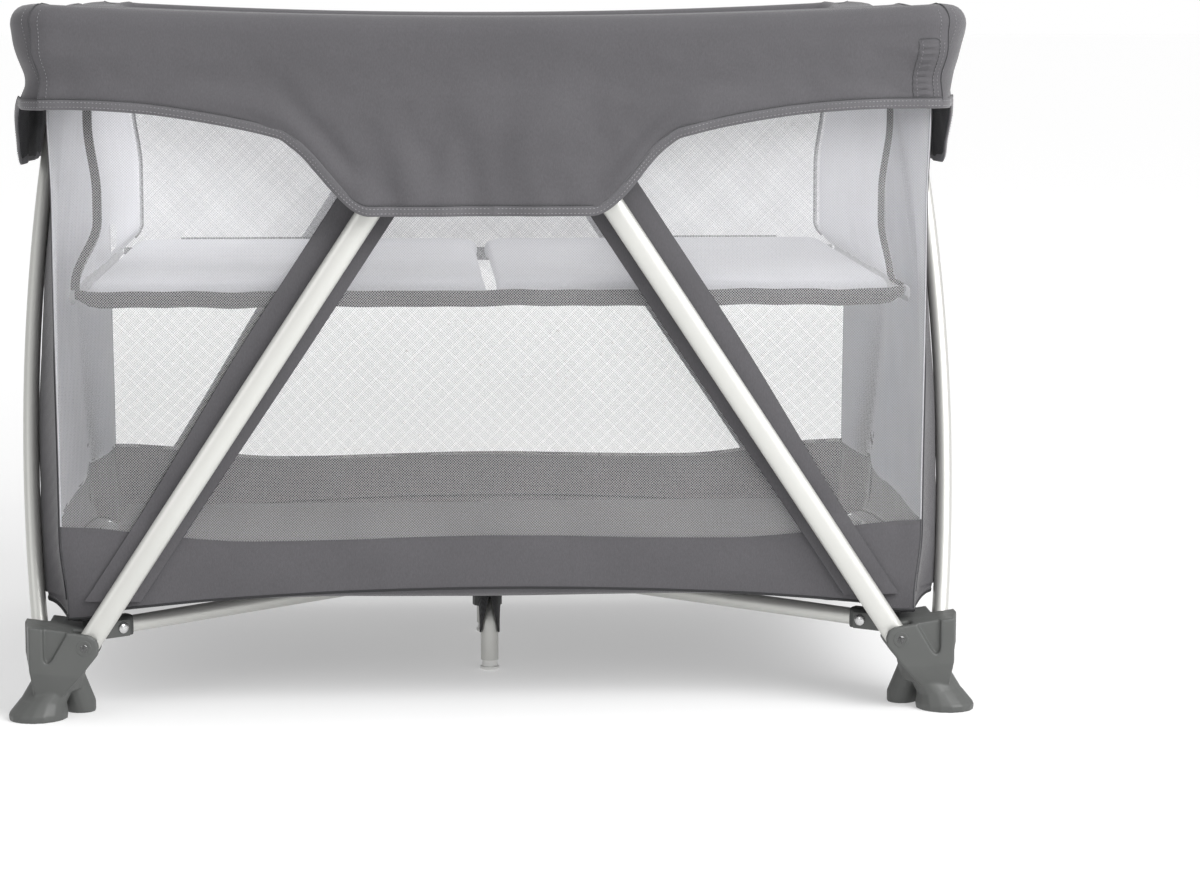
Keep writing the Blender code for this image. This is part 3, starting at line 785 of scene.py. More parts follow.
def make_strap(y, radius):
    """Webbing looped over the front bend of the centre leg: two tails that part into a notch
    over the leg, each edge-bound with a raised rib."""
    low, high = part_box("pull_strap")
    shape = Shape()
    wide, off = 0.0145, radius + 0.0016
    for way in (-1, 1):
        rows = []
        for i in range(13):
            t = i / 12
            z = high.z - (high.z - low.z) * t
            outer = wide - (wide - off) * smooth(t * 1.15)
            inner = outer * smooth(t - 0.12) * 0.95
            row = []
            for k in range(7):
                x = inner + (outer - inner) * k / 6
                depth = math.sqrt(max(off ** 2 - min(x, off) ** 2, 0.0)) * (0.35 + 0.65 * smooth(t * 2))
                row.append((way * x, y - depth - 0.0008 - 0.004 * (1 - t), z))
            rows.append(row if way > 0 else row[::-1])
        shape.shell(rows, 0.0012, 0, 0)
        edge = [Vector(row[0] if way > 0 else row[-1]) + Vector((0, -0.0004, 0)) for row in rows[2:]]
        shape.sweep(edge, ellipse(0.0009, 0.0007, 8), (0, -1, 0), 0)
    back = []
    for i in range(7):
        z = high.z - (high.z - low.z - 0.006) * i / 6
        back.append([((radius + 0.0012) * math.cos(a), y + (radius + 0.0012) * math.sin(a), z)
                     for a in [math.pi * k / 12 for k in range(13)]])
    shape.shell(back, 0.0012, 0, 0)
    piece(shape, "strap", ["webbing"], "centre_hub", ["pull_strap"])


def paint(node, material):
    """Gives a CAD node that stays in view a finished material."""
    mesh = frame["nodes"][node].data
    mesh.materials.clear()
    mesh.materials.append(MAT[material])


# Top cover

def rounded(half_x, half_y, radius, kind, t):
    """The plan of a rounded rectangle in the +X +Y quarter, from a side's middle (t = 0) to the
    corner seam (t = 1)."""
    long_side = kind == "long"
    middle = Vector((half_x - radius, half_y - radius))
    begin = 90 if long_side else 0
    share = 0.96 if long_side else 0.87
    if t < share:
        run = t / share
        return Vector((middle.x * run, half_y)) if long_side else Vector((half_x, middle.y * run))
    angle = math.radians(begin + (SEAM_ANGLE - begin) * (t - share) / (1 - share))
    return middle + radius * Vector((math.cos(angle), math.sin(angle)))


def hem_height(kind, distance):
    """Height of the cover's lower edge: a deep flap in the middle of each side, and a shallow
    run to the corners."""
    d = abs(distance)
    if kind == "long":
        rise = min(max((d - 0.22) / 0.25, 0.0), 1.0)
        return 0.5617 + 0.0813 * smooth((d - 0.135) / 0.100) + 0.0350 * (1 - (1 - rise) ** 2)
    return 0.608 + 0.069 * smooth((d - 0.170) / 0.085)


def wrinkle(kind, along, z, seed):
    """How far the hanging cloth stands off its plain shape: long soft folds that run down and
    outward from the top edge, and finer creases near the hem."""
    drop = smooth((COVER_TOP - z) / 0.16)
    lean = along + 0.9 * (COVER_TOP - z) * min(max(along / 0.25, -1), 1)
    folds = ripple(lean * 6, z * 5, seed) * 0.0085
    creases = ripple(lean * 16, z * 13, seed + 5) * 0.0050
    fine = ripple(along * 42, z * 50, seed + 9) * 0.0010
    return drop * (folds + creases) + fine


def hem_folds(kind, along, z):
    """Soft ridges that follow the curve of the flap, where the edge tape holds the cloth."""
    if kind == "short":
        return 0.0
    above = z - hem_height(kind, along)
    curve = smooth((abs(along) - 0.12) / 0.05) * (1 - smooth((abs(along) - 0.27) / 0.08))
    ridge = math.exp(-((above - 0.022) / 0.012) ** 2) - 0.8 * math.exp(-((above - 0.046) / 0.014) ** 2)
    return 0.0026 * curve * ridge


def gathers(kind, corner, along, z):
    """Shirring beside the two zipped corner seams."""
    if kind != "long" or corner not in ("fr", "rl"):
        return 0.0
    height = smooth((z - hem_height(kind, along) - 0.004) / 0.01)
    height *= smooth((PLACKET_TOP + 0.004 - z) / 0.012)
    inside = smooth((along - PLACKET[0] + 0.004) / 0.006) * smooth((PLACKET[1] + 0.002 - along) / 0.005)
    ribs = 0.0013 * math.sin(z * math.tau / 0.0075 + 2 * ripple(along * 40, z * 20, 2))
    pull = smooth((along - PLACKET[0] + 0.085) / 0.085) * (1 - inside) * (along < PLACKET[1])
    creases = 0.0017 * ripple(along * 9, z * 62 + along * 14, 8)
    return height * (inside * (ribs + 0.0012) + pull * creases)


def cover_column(kind, corner, t, hem_rows=40):
    """One strip of the cover, from the outer hem over the rail to the inner hem, as
    (points, outward direction)."""
    outer = rounded(COVER_HALF.x, COVER_HALF.y, CORNER_RADIUS, kind, t)
    inner = rounded(COVER_HALF.x - COVER_DEPTH, COVER_HALF.y - COVER_DEPTH, INNER_RADIUS, kind, t)
    out = (outer - inner).normalized()
    depth = (outer - inner).length
    along = outer.x if kind == "long" else outer.y
    signed = along * (CORNERS[corner][0] if kind == "long" else CORNERS[corner][1])
    half = COVER_HALF.x if kind == "long" else COVER_HALF.y
    seed = {"long": 3.0, "short": 17.0}[kind] + CORNERS[corner][1 if kind == "long" else 0] * 4
    sag = TOP_SAG * (1 - (along / half) ** 2)
    top = COVER_TOP + CORNER_RISE - sag
    right = CORNERS[corner][0] > 0
    # The right end of the front flap stops nearer the middle than the left end
    narrowed = along + 0.028 * smooth(along / 0.10) if kind == "long" and corner == "fr" else along
    hem = hem_height(kind, narrowed)
    points = []

    def add(off, z):
        xy = outer + out * off
        points.append(at_corner((xy.x, xy.y, z), corner))

    waist = 0.0030 if kind == "long" else 0.0045 if right else 0.0105
    corner_near = smooth((t - 0.80) / 0.20)
    for i in range(hem_rows):
        f = i / (hem_rows - 1)
        z = hem + (top - ROLL - hem) * f
        stand = (wrinkle(kind, signed, z, seed) + hem_folds(kind, narrowed, z)) * (1 - f ** 6)
        stand -= waist * math.exp(-((z - WAIST_Z) / 0.024) ** 2)
        pucker = 0.0026 * math.sin(z * math.tau / 0.062 + seed)
        stand -= corner_near * (0.012 * (1 - f) ** 1.2 + pucker * math.sin(math.pi * f))
        if kind == "short":
            stand += 0.011 * smooth((0.275 - along) / 0.06) * (1 - f) ** 1.2
            stand -= 0.007 * right * (1 - f)
            stand -= 0.009 * smooth((along - 0.270) / 0.07) * (1 - f) ** 1.2
        add(stand - 0.001 + gathers(kind, corner, along, z), z)
    for i in range(1, 7):
        a = math.pi / 2 * i / 6
        add(-0.001 - ROLL * (1 - math.cos(a)), top - ROLL + ROLL * math.sin(a))
    for i in range(1, 8):
        f = i / 8
        dip = 0.0035 * math.sin(math.pi * f) + 0.0005 * ripple(signed * 14, f * 3, seed)
        add(-0.001 - ROLL - (depth - 2 * ROLL) * f, top - dip)
    for i in range(7):
        a = math.pi / 2 * i / 6
        add(-depth + ROLL - ROLL * math.sin(a), top - ROLL + ROLL * math.cos(a))
    for i in range(1, 12):
        f = i / 11
        z = top - ROLL + (COVER_INNER_Z - top + ROLL) * f
        add(-depth + 0.0012 * f * ripple(signed * 22, z * 15, seed + 2), z)
    return points, at_corner((out.x, out.y, 0), corner)


def make_cover_half(kind, side, corner):
    columns = 120 if kind == "long" else 84
    strips, outs = [], []
    for i in range(columns + 1):
        strip, out = cover_column(kind, corner, i / columns)
        strips.append(strip)
        outs.append(out)
    shape = Shape()
    rows = [list(row) for row in zip(*strips)]
    sx, sy = CORNERS[corner]
    if sx * sy * (1 if kind == "long" else -1) < 0:
        rows = [row[::-1] for row in rows]
    # The back of the sheet takes slot 1, near-black painted shade for the inside of the flaps.
    shape.shell(rows, CLOTH, 0, 1)
    hem = [s[0] + Vector((0, 0, 0.0042)) for s in strips]
    outs_hem = [o.copy() for o in outs]
    shape.sweep(hem, ellipse(0.0016, 0.0058, 16, 3.0), outs_hem, 2)
    # A thin dark line along the top of the hem tape: painted shade where the tape's edge meets the
    # cloth.
    edge = [s[0] + Vector((0, 0, 0.0104)) + o * 0.0011 for s, o in zip(strips, outs)]
    shape.sweep(edge, ellipse(0.0007, 0.0006, 8), outs_hem, 4)
    for rise in (0.0016, 0.0068):
        line = [s[0] + Vector((0, 0, rise)) + o * 0.00165 for s, o in zip(strips, outs)]
        shape.stitches(line, outs, 3)
    seam = strips[-1][2:52]
    shape.sweep([p + outs[-1] * 0.0003 for p in seam], ellipse(0.0007, 0.0007, 8), outs[-1], 4)
    beside = strips[-3][3:44]
    shape.stitches([p + outs[-3] * 0.0007 for p in beside], [outs[-3]] * len(beside), 3)
    if kind == "long" and corner in ("fr", "rl"):
        add_placket(shape, strips, outs)
    name = f"cover_{side}_{corner}"
    made = shape.build(name, [MAT[m] for m in ("cover", "painted_shade_lining", "binding", "thread",
                                               "dark_thread_and_shade_line")], 50)
    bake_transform(made)
    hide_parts(f"cover_{side}")
    return made


def add_placket(shape, strips, outs):
    """Seam lines down both edges of the gathered strip and across its top."""
    edges = []
    for edge in PLACKET:
        k = min(range(len(strips) - 2), key=lambda i: abs(abs(strips[i][38].x) - edge))
        edges.append(k)
        line = [p + outs[k] * 0.0004 for p in strips[k] if p.z < PLACKET_TOP]
        line = line[2:]
        shape.sweep(line, ellipse(0.0004, 0.0004, 8), outs[k], 4)
        beside = [p + outs[k + 1] * 0.0005 for p in strips[k + 1] if p.z < PLACKET_TOP][3:]
        shape.stitches(beside, [outs[k + 1]] * len(beside), 3)
    across = []
    for k in range(edges[0], edges[1] + 1):
        near = min(strips[k][:45], key=lambda p: abs(p.z - PLACKET_TOP))
        across.append(near + outs[k] * 0.0005)
    shape.sweep(across, ellipse(0.0004, 0.0004, 8), outs[edges[0]:edges[1] + 1], 4)


def make_cover():
    for corner, (sx, sy) in CORNERS.items():
        front = "front" if sy < 0 else "rear"
        left = "left" if sx < 0 else "right"
        make_cover_half("long", front, corner)
        make_cover_half("short", left, corner)


# Walls

def long_leg_x(z):
    share = (z - LONG_FOOT.z) / (LONG_TOP.z - LONG_FOOT.z)
    return LONG_FOOT.x + (LONG_TOP.x - LONG_FOOT.x) * share


def short_leg_at(z):
    return short_leg_point((z - SHORT_FOOT.z) / (SHORT_TOP.z - SHORT_FOOT.z))


def corner_x(z):
    """Where the corner seam stands: it leans in towards the foot."""
    foot_lean = 0.007 * smooth((z - 0.12) / 0.08) + 0.002 * smooth((z - 0.20) / 0.30)
    return WALL_X + 0.001 + foot_lean + 0.003 * smooth((z - 0.57) / 0.10)


def long_wall_y(x, z):
    """The long walls' cloth is drawn out to the legs and falls back between them."""
    lean = math.atan2(LONG_FOOT.x - LONG_TOP.x, LONG_TOP.z - LONG_FOOT.z)
    away = abs(abs(x) - long_leg_x(z)) * math.cos(lean)
    ridge = LONG_FOOT.y - LEG_THICK / 2 - LEG_GAP - WALL_Y
    soft = 0.0016 * ripple(x * 9, z * 7, 31) + ridge * math.exp(-(away / 0.050) ** 2)
    hollow = 0.003 * smooth(1 - abs(x) / 0.4) * smooth((z - 0.15) / 0.2)
    return WALL_Y - hollow + soft * smooth((corner_x(z) - abs(x)) / 0.030)


def short_wall_x(y, z):
    """The short walls bow outward, held against the inner faces of the curved legs. From each
    leg the cloth falls away, steeply at first, to the corner and to the middle."""
    leg = short_leg_at(z)
    edge = corner_x(z)
    ridge = max(leg.x - LEG_THICK / 2 - 0.0042, edge + 0.001)
    reach = abs(y)
    if reach > leg.y:
        t = min((reach - leg.y) / max(WALL_Y - leg.y, 0.02), 1.0)
        return ridge + (edge - ridge) * (1 - (1 - t) ** 1.9)
    t = 1 - reach / max(leg.y, 0.02)
    slack = 0.012 * (1 - (1 - min(t * 1.6, 1.0)) ** 2) * smooth((z - 0.10) / 0.2)
    return ridge - slack * smooth(leg.y / 0.12) + 0.0015 * ripple(y * 9, z * 7, 41) * smooth(t * 3)


def wall_point(kind, sign, a, z, off=0.0):
    """A point of a wall: a is the distance along the side, off how far outside the cloth."""
    if kind == "long":
        return Vector((a, sign * (long_wall_y(a, z) + off), z))
    return Vector((sign * (short_wall_x(a, z) + off), a, z))


def wall_half(kind, z):
    return corner_x(z) if kind == "long" else WALL_Y


def band_top(a, half):
    """The top edge of the solid band: it dips before each leg and climbs to the corners."""
    share = abs(a) / half
    return 0.199 - 0.0045 * smooth(share / 0.5) + 0.018 * smooth((share - 0.55) / 0.45)


def band_bottom(a, half):
    """The lower edge arches up between the feet, and is drawn down at the corners."""
    share = abs(a) / half
    corner_drop = smooth((share - 0.86) / 0.10)
    return 0.1395 - 0.024 * share ** 2 - 0.007 * corner_drop


def add_panel(shape, kind, sign, slot):
    """The mesh, from the solid band up to under the cover."""
    rows = []
    for i in range(41):
        row = []
        for k in range(97):
            share = 2 * k / 96 - 1
            half = wall_half(kind, 0.3)
            low = band_top(share * half, half) - 0.004
            z = low + (WALL_TOP - low) * i / 40
            row.append(wall_point(kind, sign, share * wall_half(kind, z), z))
        rows.append(row)
    shape.grid(rows, slot)


def add_lower_band(shape, kind, sign):
    """The solid cloth round the foot of the wall, its piping, and the turned-under edge."""
    top_row, low_row, rows = [], [], []
    columns = 120
    for i in range(13):
        row = []
        for k in range(columns + 1):
            share = 2 * k / columns - 1
            half = wall_half(kind, 0.16)
            a = share * half
            low, high = band_bottom(a, half), band_top(a, half)
            z = low + (high - low) * i / 12
            a = share * wall_half(kind, z)
            edge_pull = smooth((abs(share) - 0.93) / 0.07) * (1 - i / 12)
            tuck = 0.0012 * math.sin(share * 260) * edge_pull
            gathered = smooth((abs(share) - 0.84) / 0.06) * (i / 12) ** 2
            tuck += 0.0014 * math.sin(share * 330 + 2 * ripple(share * 20, 0.5, 7)) * gathered
            puff = 0.0022 * math.sin(math.pi * i / 12) + 0.0016 * ripple(a * 16, z * 30, 51)
            meet = smooth((1 - abs(share)) / 0.02)
            row.append(wall_point(kind, sign, a, z, (0.0010 + puff + tuck) * meet))
        rows.append(row)
    low_row, top_row = rows[0], rows[-1]
    shape.shell(rows, 0.001, 0, 0)
    out = Vector((0, sign, 0)) if kind == "long" else Vector((sign, 0, 0))
    # The piping takes slot 1, the same near-black painted shade, along the band's lower edge.
    shape.sweep(low_row, ellipse(0.0019, 0.0019, 12), [out] * len(low_row), 1)
    under = []
    for i in range(5):
        t = i / 4
        row = []
        for k, p in enumerate(low_row):
            share = abs(2 * k / columns - 1)
            drop = 0.003 + 0.009 * (1 - smooth(share / 0.75))
            row.append(p - out * (0.001 + 0.014 * t) - Vector((0, 0, drop * math.sqrt(t))))
        under.append(row)
    shape.shell(under, 0.0008, 0, 0)
    line = [p + out * 0.0006 + Vector((0, 0, -0.004)) for p in top_row]
    shape.stitches(line, [out] * len(line), 2)
    line = [p + out * 0.0008 + Vector((0, 0, 0.0045)) for p in low_row]
    shape.stitches(line, [out] * len(line), 2)


def band_reach(kind, z):
    """How far a leg's strip of cloth reaches from the leg's axis towards the corner and towards
    the middle of the wall. On the short walls it fills the gap to the corner lower down."""
    if kind == "long":
        high = smooth((z - 0.20) / 0.25)
        return 0.034 + 0.010 * high, 0.028 + 0.003 * high
    gap = WALL_Y - 0.003 - short_leg_at(z).y
    return gap + (0.050 - gap) * smooth((z - 0.38) / 0.25), 0.030


def add_strip(shape, kind, sign, rows, thickness):
    """A strip of cloth on a wall from rows of (distance along the side, height, stand-off)."""
    points = [[wall_point(kind, sign, *spot) for spot in row] for row in rows]
    turned = rows[0][-1][0] < rows[0][0][0]
    if turned == (sign > 0) if kind == "short" else turned == (sign < 0):
        points = [row[::-1] for row in points]
    shape.shell(points, thickness, 0, 0)
    return points


def add_leg_bands(shape, kind, sign):
    """A stiff strip of cloth behind each leg, sewn to the mesh along both edges and laid over
    the lower band."""
    foot, top = (LONG_FOOT, LONG_TOP) if kind == "long" else (SHORT_FOOT, SHORT_TOP)
    axis = 0 if kind == "long" else 1
    low_z, high_z = 0.130, 0.690
    slope = (top[axis] - foot[axis]) / (top.z - foot.z)
    out = Vector((0, sign, 0)) if kind == "long" else Vector((sign, 0, 0))
    for way in (-1, 1):
        rows = []
        for i in range(81):
            z = low_z + (high_z - low_z) * i / 80
            centre = foot[axis] + slope * (z - foot.z)
            outer, inner = band_reach(kind, z)
            row = []
            for k in range(17):
                a = centre - inner + (outer + inner) * k / 16
                a = min(a, wall_half(kind, z) - 0.0015)
                free = math.sin(math.pi * k / 16)
                off = 0.0024 + 0.0012 * ripple(z * 30, k / 8, 61 + way) * free
                if kind == "long":
                    off += 0.0030 * smooth((0.228 - z) / 0.022)
                else:
                    off += 0.0010 * math.sin((z * 1.3 - a) * math.tau / 0.030) * free
                    by_leg = math.exp(-((a - centre) / 0.016) ** 2)
                    off = min(max(off, 0.0016), 0.0034) * (1 - by_leg) + 0.0040 * by_leg
                row.append((way * a, z, off))
            rows.append(row)
        points = add_strip(shape, kind, sign, rows, 0.0028 if kind == "long" else 0.0008)
        for k in (0, 16):
            edge = [row[k] + out * 0.0004 for row in points]
            shape.sweep(edge, ellipse(0.0007, 0.0009, 8), [out] * len(edge), 3)
        for k in (1, 15):
            line = [row[k] + out * 0.0006 for row in points]
            shape.stitches(line, [out] * len(line), 3)


def add_gussets(shape, sign):
    """Solid cloth beside the corner seams of a short wall, wide at the foot and narrow above."""
    for way in (-1, 1):
        rows = []
        for i in range(61):
            z = 0.150 + (WALL_TOP - 0.150) * i / 60
            wide = 0.012 + 0.090 * smooth((0.47 - z) / 0.24)
            rows.append([(way * (WALL_Y - 0.0010 - wide * (1 - k / 8)), z, 0.0006)
                         for k in range(9)])
        add_strip(shape, "short", sign, rows, 0.0016)


def add_corner_seams(shape, sign):
    """Taped seams where two walls meet: dark along the solid band, pale along the mesh."""
    for way in (-1, 1):
        out = Vector((way, sign, 0)).normalized()
        for low, high, size, slot in ((0.112, 0.213, 0.0011, 3), (0.213, WALL_TOP, 0.0010, 4)):
            path = []
            for i in range(31):
                z = low + (high - low) * i / 30
                path.append(wall_point("long", sign, way * wall_half("long", z), z, 0.0004))
            shape.sweep(path, ellipse(size, size, 10), [out] * len(path), slot)


def make_walls():
    for kind, sides in (("long", LONG_SIDES), ("short", SHORT_SIDES)):
        for side, sign in sides.items():
            net = Shape()
            add_panel(net, kind, sign, 0)
            weave = "mesh_x" if kind == "long" else "mesh_y"
            mesh = piece(net, f"mesh_{side}", [weave], f"hub_{side}", [f"wall_{side}"])
            cloth = Shape()
            add_lower_band(cloth, kind, sign)
            add_leg_bands(cloth, kind, sign)
            if kind == "long":
                add_corner_seams(cloth, sign)
            else:
                add_gussets(cloth, sign)
            bands = piece(cloth, f"bands_{side}", ["cover", "painted_shade_lining", "thread", "dark_thread_and_shade_line",
                                                   "pale_tape"],
                          f"hub_{side}", (), 50)
            for part in (mesh, bands):
                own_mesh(part)


def make_floor():
    """The floor cloth in four gores, one over each floor arm."""
    steps = 16
    for corner in CORNERS:
        shape = Shape()
        rows = []
        for i in range(steps + 1):
            y = (WALL_Y - 0.012) * i / steps
            row = []
            for k in range(steps + 1):
                x = (WALL_X - 0.010) * k / steps
                sag = 0.003 * math.sin(math.pi * i / steps) * math.sin(math.pi * k / steps)
                row.append(at_corner((x, y, FLOOR_Z - sag), corner))
            rows.append(row)
        shape.shell(rows, 0.0012, 0, 0)
        gore = piece(shape, f"floor_{corner}", ["cover"], f"arm_{corner}", ["floor_cloth"])
        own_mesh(gore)


# Bassinet and mattress

def bassinet_plan(kind, t, z, sign_x, sign_y):
    """The bassinet's plan in one quarter: t runs from a side's middle to the corner. It flares
    out at the bottom, round the mattress, and a little at the top, where it hangs. The front
    right corner is pulled straighter than the others."""
    swell = smooth((0.550 - z) / 0.070) if sign_y < 0 else smooth((0.505 - z) / 0.040)
    if sign_y < 0 < sign_x:
        swell = 0.45 * swell + 0.55 * smooth((0.484 - z) / 0.014)
    half_x = BASSINET_HALF.x - BASSINET_NECK + (BASSINET_NECK + 0.004) * swell
    half_x += 0.009 * smooth((z - 0.580) / 0.08)
    half_y = BASSINET_HALF.y - 0.006 + 0.009 * swell
    radius = 0.022
    middle = Vector((half_x - radius, half_y - radius))
    share = 0.95
    if t < share:
        run = t / share
        return Vector((middle.x * run, half_y)) if kind == "long" else Vector((half_x, middle.y * run))
    turn = (t - share) / (1 - share) * 45
    angle = math.radians(90 - turn if kind == "long" else turn)
    return middle + radius * Vector((math.cos(angle), math.sin(angle)))


def bassinet_row(kind, sign, z, off=0.0, columns=80):
    row = []
    for k in range(columns + 1):
        share = 2 * k / columns - 1
        way = -1 if share < 0 else 1
        signs = (way, sign) if kind == "long" else (sign, way)
        plan = bassinet_plan(kind, abs(share), z, *signs)
        free = 1 - smooth((abs(share) - 0.8) / 0.2)
        soft = 0.0022 * ripple(share * 5, z * 11, sign * 3) * free + off
        wave = 0.0024 * ripple(share * 9, 3.0, sign) * free * smooth((0.49 - z) / 0.02)
        wave += 0.010 * smooth((abs(share) - 0.93) / 0.07) * smooth((0.478 - z) / 0.02)
        if kind == "long":
            row.append(Vector((way * plan.x, sign * (plan.y + soft), z + wave)))
        else:
            row.append(Vector((sign * (plan.x + soft), way * plan.y, z + wave)))
    return row


def add_bassinet_corners(shape, sign, rows):
    """Tape down the two upright seams of a long side: wide and full length in front."""
    for end in (0, -1):
        wide = 0.0026 if sign > 0 else 0.0056 if end == 0 else 0.0042
        facing = Vector((-0.35 if end == 0 else 0.35, sign, 0)).normalized()
        path = [row[end] + facing * 0.0008 for row in rows if sign < 0 or row[end].z > PAD_HIGH.z]
        shape.sweep(path, ellipse(0.0010, wide, 12, 3.0), [facing] * len(path), 0)


def make_bassinet():
    top = WALL_TOP - 0.008
    low = BASSINET_Z - 0.001
    trim_top = low + 0.017
    for kind, sides in (("long", LONG_SIDES), ("short", SHORT_SIDES)):
        for side, sign in sides.items():
            out = Vector((0, sign, 0)) if kind == "long" else Vector((sign, 0, 0))
            net = Shape()
            rows = [bassinet_row(kind, sign, trim_top + (top - trim_top) * i / 30)
                    for i in range(31)]
            net.grid(rows, 0)
            weave = "fine_x" if kind == "long" else "fine_y"
            mesh = piece(net, f"bassinet_mesh_{side}", [weave], f"hub_{side}", ["bassinet"])
            tape = Shape()
            base = []
            for i in range(7):
                puff = 0.0022 * math.sin(math.pi * i / 6)
                base.append(bassinet_row(kind, sign, low + (trim_top - low) * i / 6, 0.0005 + puff))
            edging = 0 if kind == "long" else 2
            tape.shell(base, 0.0015, edging, edging)
            if kind == "long":
                add_bassinet_corners(tape, sign, rows)
            # A dark line at the top of the mattress against the rear wall, in two short runs near the
            # corners: painted shade in the gap between pad and wall.
            if kind == "long" and sign > 0:
                seam = bassinet_row(kind, sign, PAD_HIGH.z + 0.001, -0.0015)
                for part in (seam[6:24], seam[-24:-6]):
                    tape.sweep(part, ellipse(0.0012, 0.0012, 8), [out] * len(part), 1)
            bands = piece(tape, f"bassinet_tape_{side}", ["trim", "dark_thread_and_shade_line", "pale_tape"],
                          f"hub_{side}", ())
            for part in (mesh, bands):
                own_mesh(part)


def pad_form(name, low, high):
    """A padded panel: a rounded slab, slightly smaller than its finished size."""
    bm = bmesh.new()
    bmesh.ops.create_cube(bm, size=1.0)
    bmesh.ops.scale(bm, vec=high - low, verts=bm.verts)
    bmesh.ops.translate(bm, vec=(low + high) / 2, verts=bm.verts)
    bmesh.ops.bevel(bm, geom=bm.edges[:], offset=0.007, segments=3, affect="EDGES", profile=0.5)
    mesh = bpy.data.meshes.new(name)
    bm.to_mesh(mesh)
    bm.free()
    made = bpy.data.objects.new(name, mesh)
    bpy.context.scene.collection.objects.link(made)
    return made


def puffed(obj, name, cap):
    """Remeshes a form, swells it as pressurised cloth, and limits how far a point may move."""
    remesh = obj.modifiers.new("remesh", "REMESH")
    remesh.mode = "VOXEL"
    remesh.voxel_size = 0.006
    form = applied(obj, name)
    rest = np.array([v.co for v in form.data.vertices], float)
    cloth = form.modifiers.new("cloth", "CLOTH")
    cloth.settings.quality = 5
    cloth.settings.mass = 0.3
    cloth.settings.tension_stiffness = 12
    cloth.settings.compression_stiffness = 12
    cloth.settings.bending_stiffness = 0.4
    cloth.settings.use_pressure = True
    cloth.settings.uniform_pressure_force = 4
    cloth.settings.effector_weights.gravity = 0
    cloth.collision_settings.use_collision = False
    scene = bpy.context.scene
    for number in range(1, 21):
        scene.frame_set(number)
    form = applied(form, name)
    now = np.array([v.co for v in form.data.vertices], float)
    step = now - rest
    size = np.linalg.norm(step, axis=1, keepdims=True)
    now = rest + step * np.minimum(1, cap / np.maximum(size, 1e-9))
    form.data.vertices.foreach_set("co", now.astype(np.float32).ravel())
    form.data.update()
    scene.frame_set(1)
    return form


def make_mattress():
    """Four padded panels with fold lines between them."""
    folds = (PAD_LOW.x + 0.001, -PAD_FOLD, 0.0, PAD_FOLD, PAD_HIGH.x - 0.001)
    bodies = ("hub_left", "hub_front", "hub_front", "hub_right")
    inset = 0.004
    for number, body in enumerate(bodies):
        low = Vector((folds[number] + 0.0012, PAD_LOW.y + inset, PAD_LOW.z + 0.0015))
        high = Vector((folds[number + 1] - 0.0012, PAD_HIGH.y - inset, PAD_HIGH.z - 0.003))
        pad = puffed(pad_form("pad_block", low, high), f"mattress_panel_{number + 1}", 0.006)
        co = np.array([v.co for v in pad.data.vertices], float)
        co[:, 0] = np.clip(co[:, 0], folds[number] + 0.0004, folds[number + 1] - 0.0004)
        co[:, 2] = np.maximum(co[:, 2], PAD_LOW.z)
        pad.data.vertices.foreach_set("co", co.astype(np.float32).ravel())
        fine = pad.modifiers.new("fine", "SUBSURF")
        fine.levels = 1
        fine.render_levels = 1
        pad = applied(pad, pad.name)
        pad.data.materials.clear()
        pad.data.materials.append(MAT["pad"])
        pad.data.shade_smooth()
        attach(pad, body)
        dress(pad, ["mattress"])
        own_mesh(pad)


# Stage

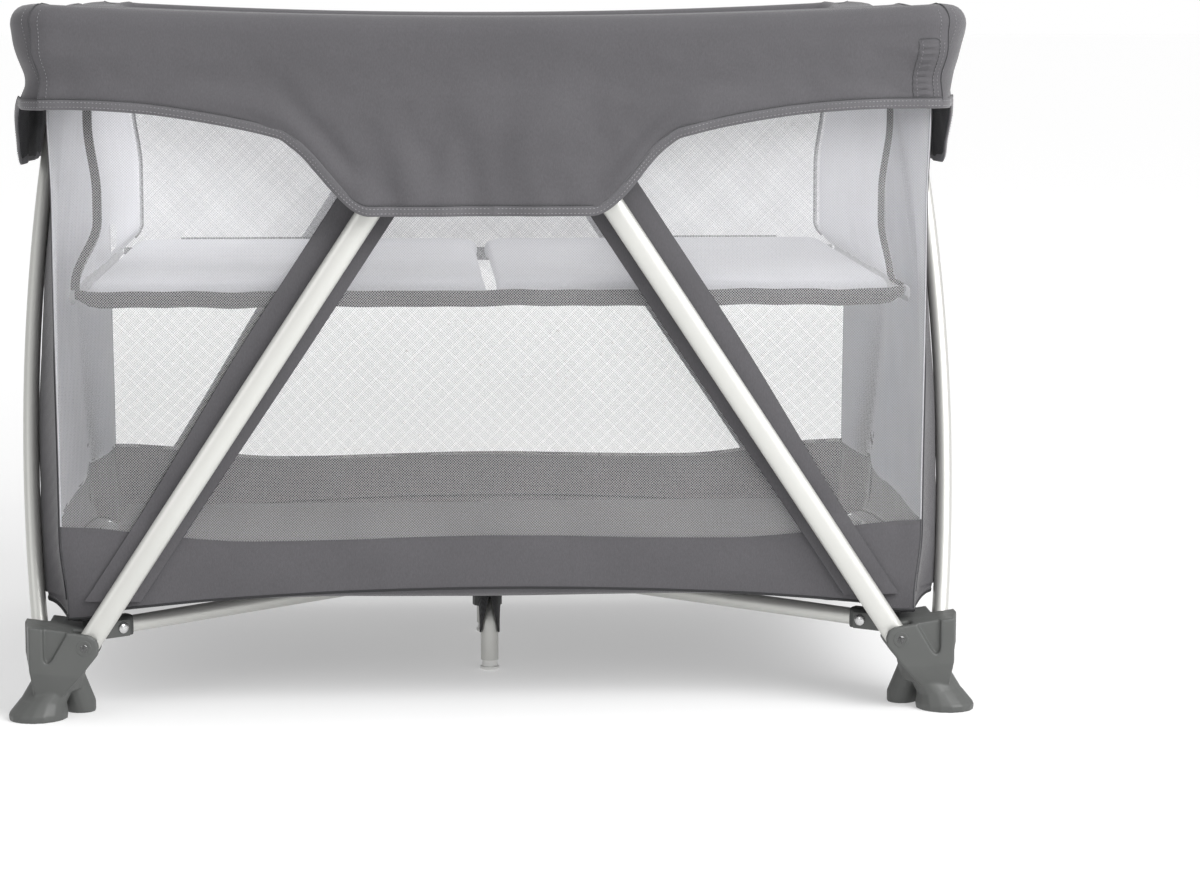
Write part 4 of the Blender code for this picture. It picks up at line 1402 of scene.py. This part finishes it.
def make_stage():
    """A pale floor that fades into the background, so that no horizon shows."""
    bm = bmesh.new()
    bmesh.ops.create_grid(bm, x_segments=1, y_segments=1, size=60)
    mesh = bpy.data.meshes.new("floor_plane")
    bm.to_mesh(mesh)
    bm.free()
    floor = bpy.data.objects.new("floor_plane", mesh)
    g = Graph("pale_floor", 0.7)
    g.set("Base Color", (0.62, 0.62, 0.62, 1))
    g.set("Specular IOR Level", 0.1)
    away = g.tree.nodes.new("ShaderNodeVectorMath")
    away.operation = "LENGTH"
    g.feed(away.inputs[0], g.place)
    far = g.tree.nodes.new("ShaderNodeMapRange")
    far.interpolation_type = "SMOOTHSTEP"
    g.feed(far.inputs["Value"], away.outputs["Value"])
    far.inputs["From Min"].default_value = 1.0
    far.inputs["From Max"].default_value = 5.0
    far.inputs["To Min"].default_value = 0.36
    far.inputs["To Max"].default_value = 0.60
    g.set("Emission Color", (1, 1, 1, 1))
    g.set("Emission Strength", far.outputs[0])
    mesh.materials.append(g.material)
    bpy.context.scene.collection.objects.link(floor)


def add_area(name, place, target, size, power):
    light = bpy.data.lights.new(name, "AREA")
    light.shape = "RECTANGLE"
    light.size, light.size_y = size
    light.energy = power
    made = bpy.data.objects.new(name, light)
    made.location = place
    made.rotation_euler = (Vector(target) - Vector(place)).to_track_quat("-Z", "Y").to_euler()
    bpy.context.scene.collection.objects.link(made)


def make_lights():
    world = bpy.data.worlds.new("studio")
    world.use_nodes = True
    sky = world.node_tree.nodes["Background"]
    sky.inputs["Color"].default_value = (1, 1, 1, 1)
    seen = world.node_tree.nodes.new("ShaderNodeLightPath")
    strength = world.node_tree.nodes.new("ShaderNodeMapRange")
    strength.inputs["To Min"].default_value = 0.60
    world.node_tree.links.new(seen.outputs["Is Camera Ray"], strength.inputs["Value"])
    world.node_tree.links.new(strength.outputs[0], sky.inputs["Strength"])
    bpy.context.scene.world = world
    add_area("key", (2.6, -3.0, 3.0), (0, 0, 0.4), (3.0, 3.0), 230)
    add_area("fill", (-3.0, -3.2, 1.8), (0, 0, 0.4), (2.0, 2.0), 22)
    add_area("top", (0, 0.3, 3.4), (0, 0, 0.4), (3.0, 3.0), 25)
    bpy.context.scene.view_settings.view_transform = "Standard"


def make_camera():
    """Square on to the front long side, from a little above the rim, aimed low and right of the
    yard so that it stands in the upper left of the frame."""
    camera = bpy.data.cameras.new("camera")
    camera.sensor_width = 36
    camera.lens = 100.5
    made = bpy.data.objects.new("camera", camera)
    front = -WALL_Y - 0.013
    made.location = (-0.09, front - 3.7, COVER_TOP + 0.018)
    target = Vector((0.1186, front, 0.3065))
    made.rotation_euler = (target - made.location).to_track_quat("-Z", "Y").to_euler()
    bpy.context.scene.collection.objects.link(made)
    bpy.context.scene.camera = made


make_legs()
make_rails()
make_arms()
make_feet()
make_hardware()
make_cover()
make_walls()
make_floor()
make_bassinet()
make_mattress()
make_stage()
make_lights()
make_camera()
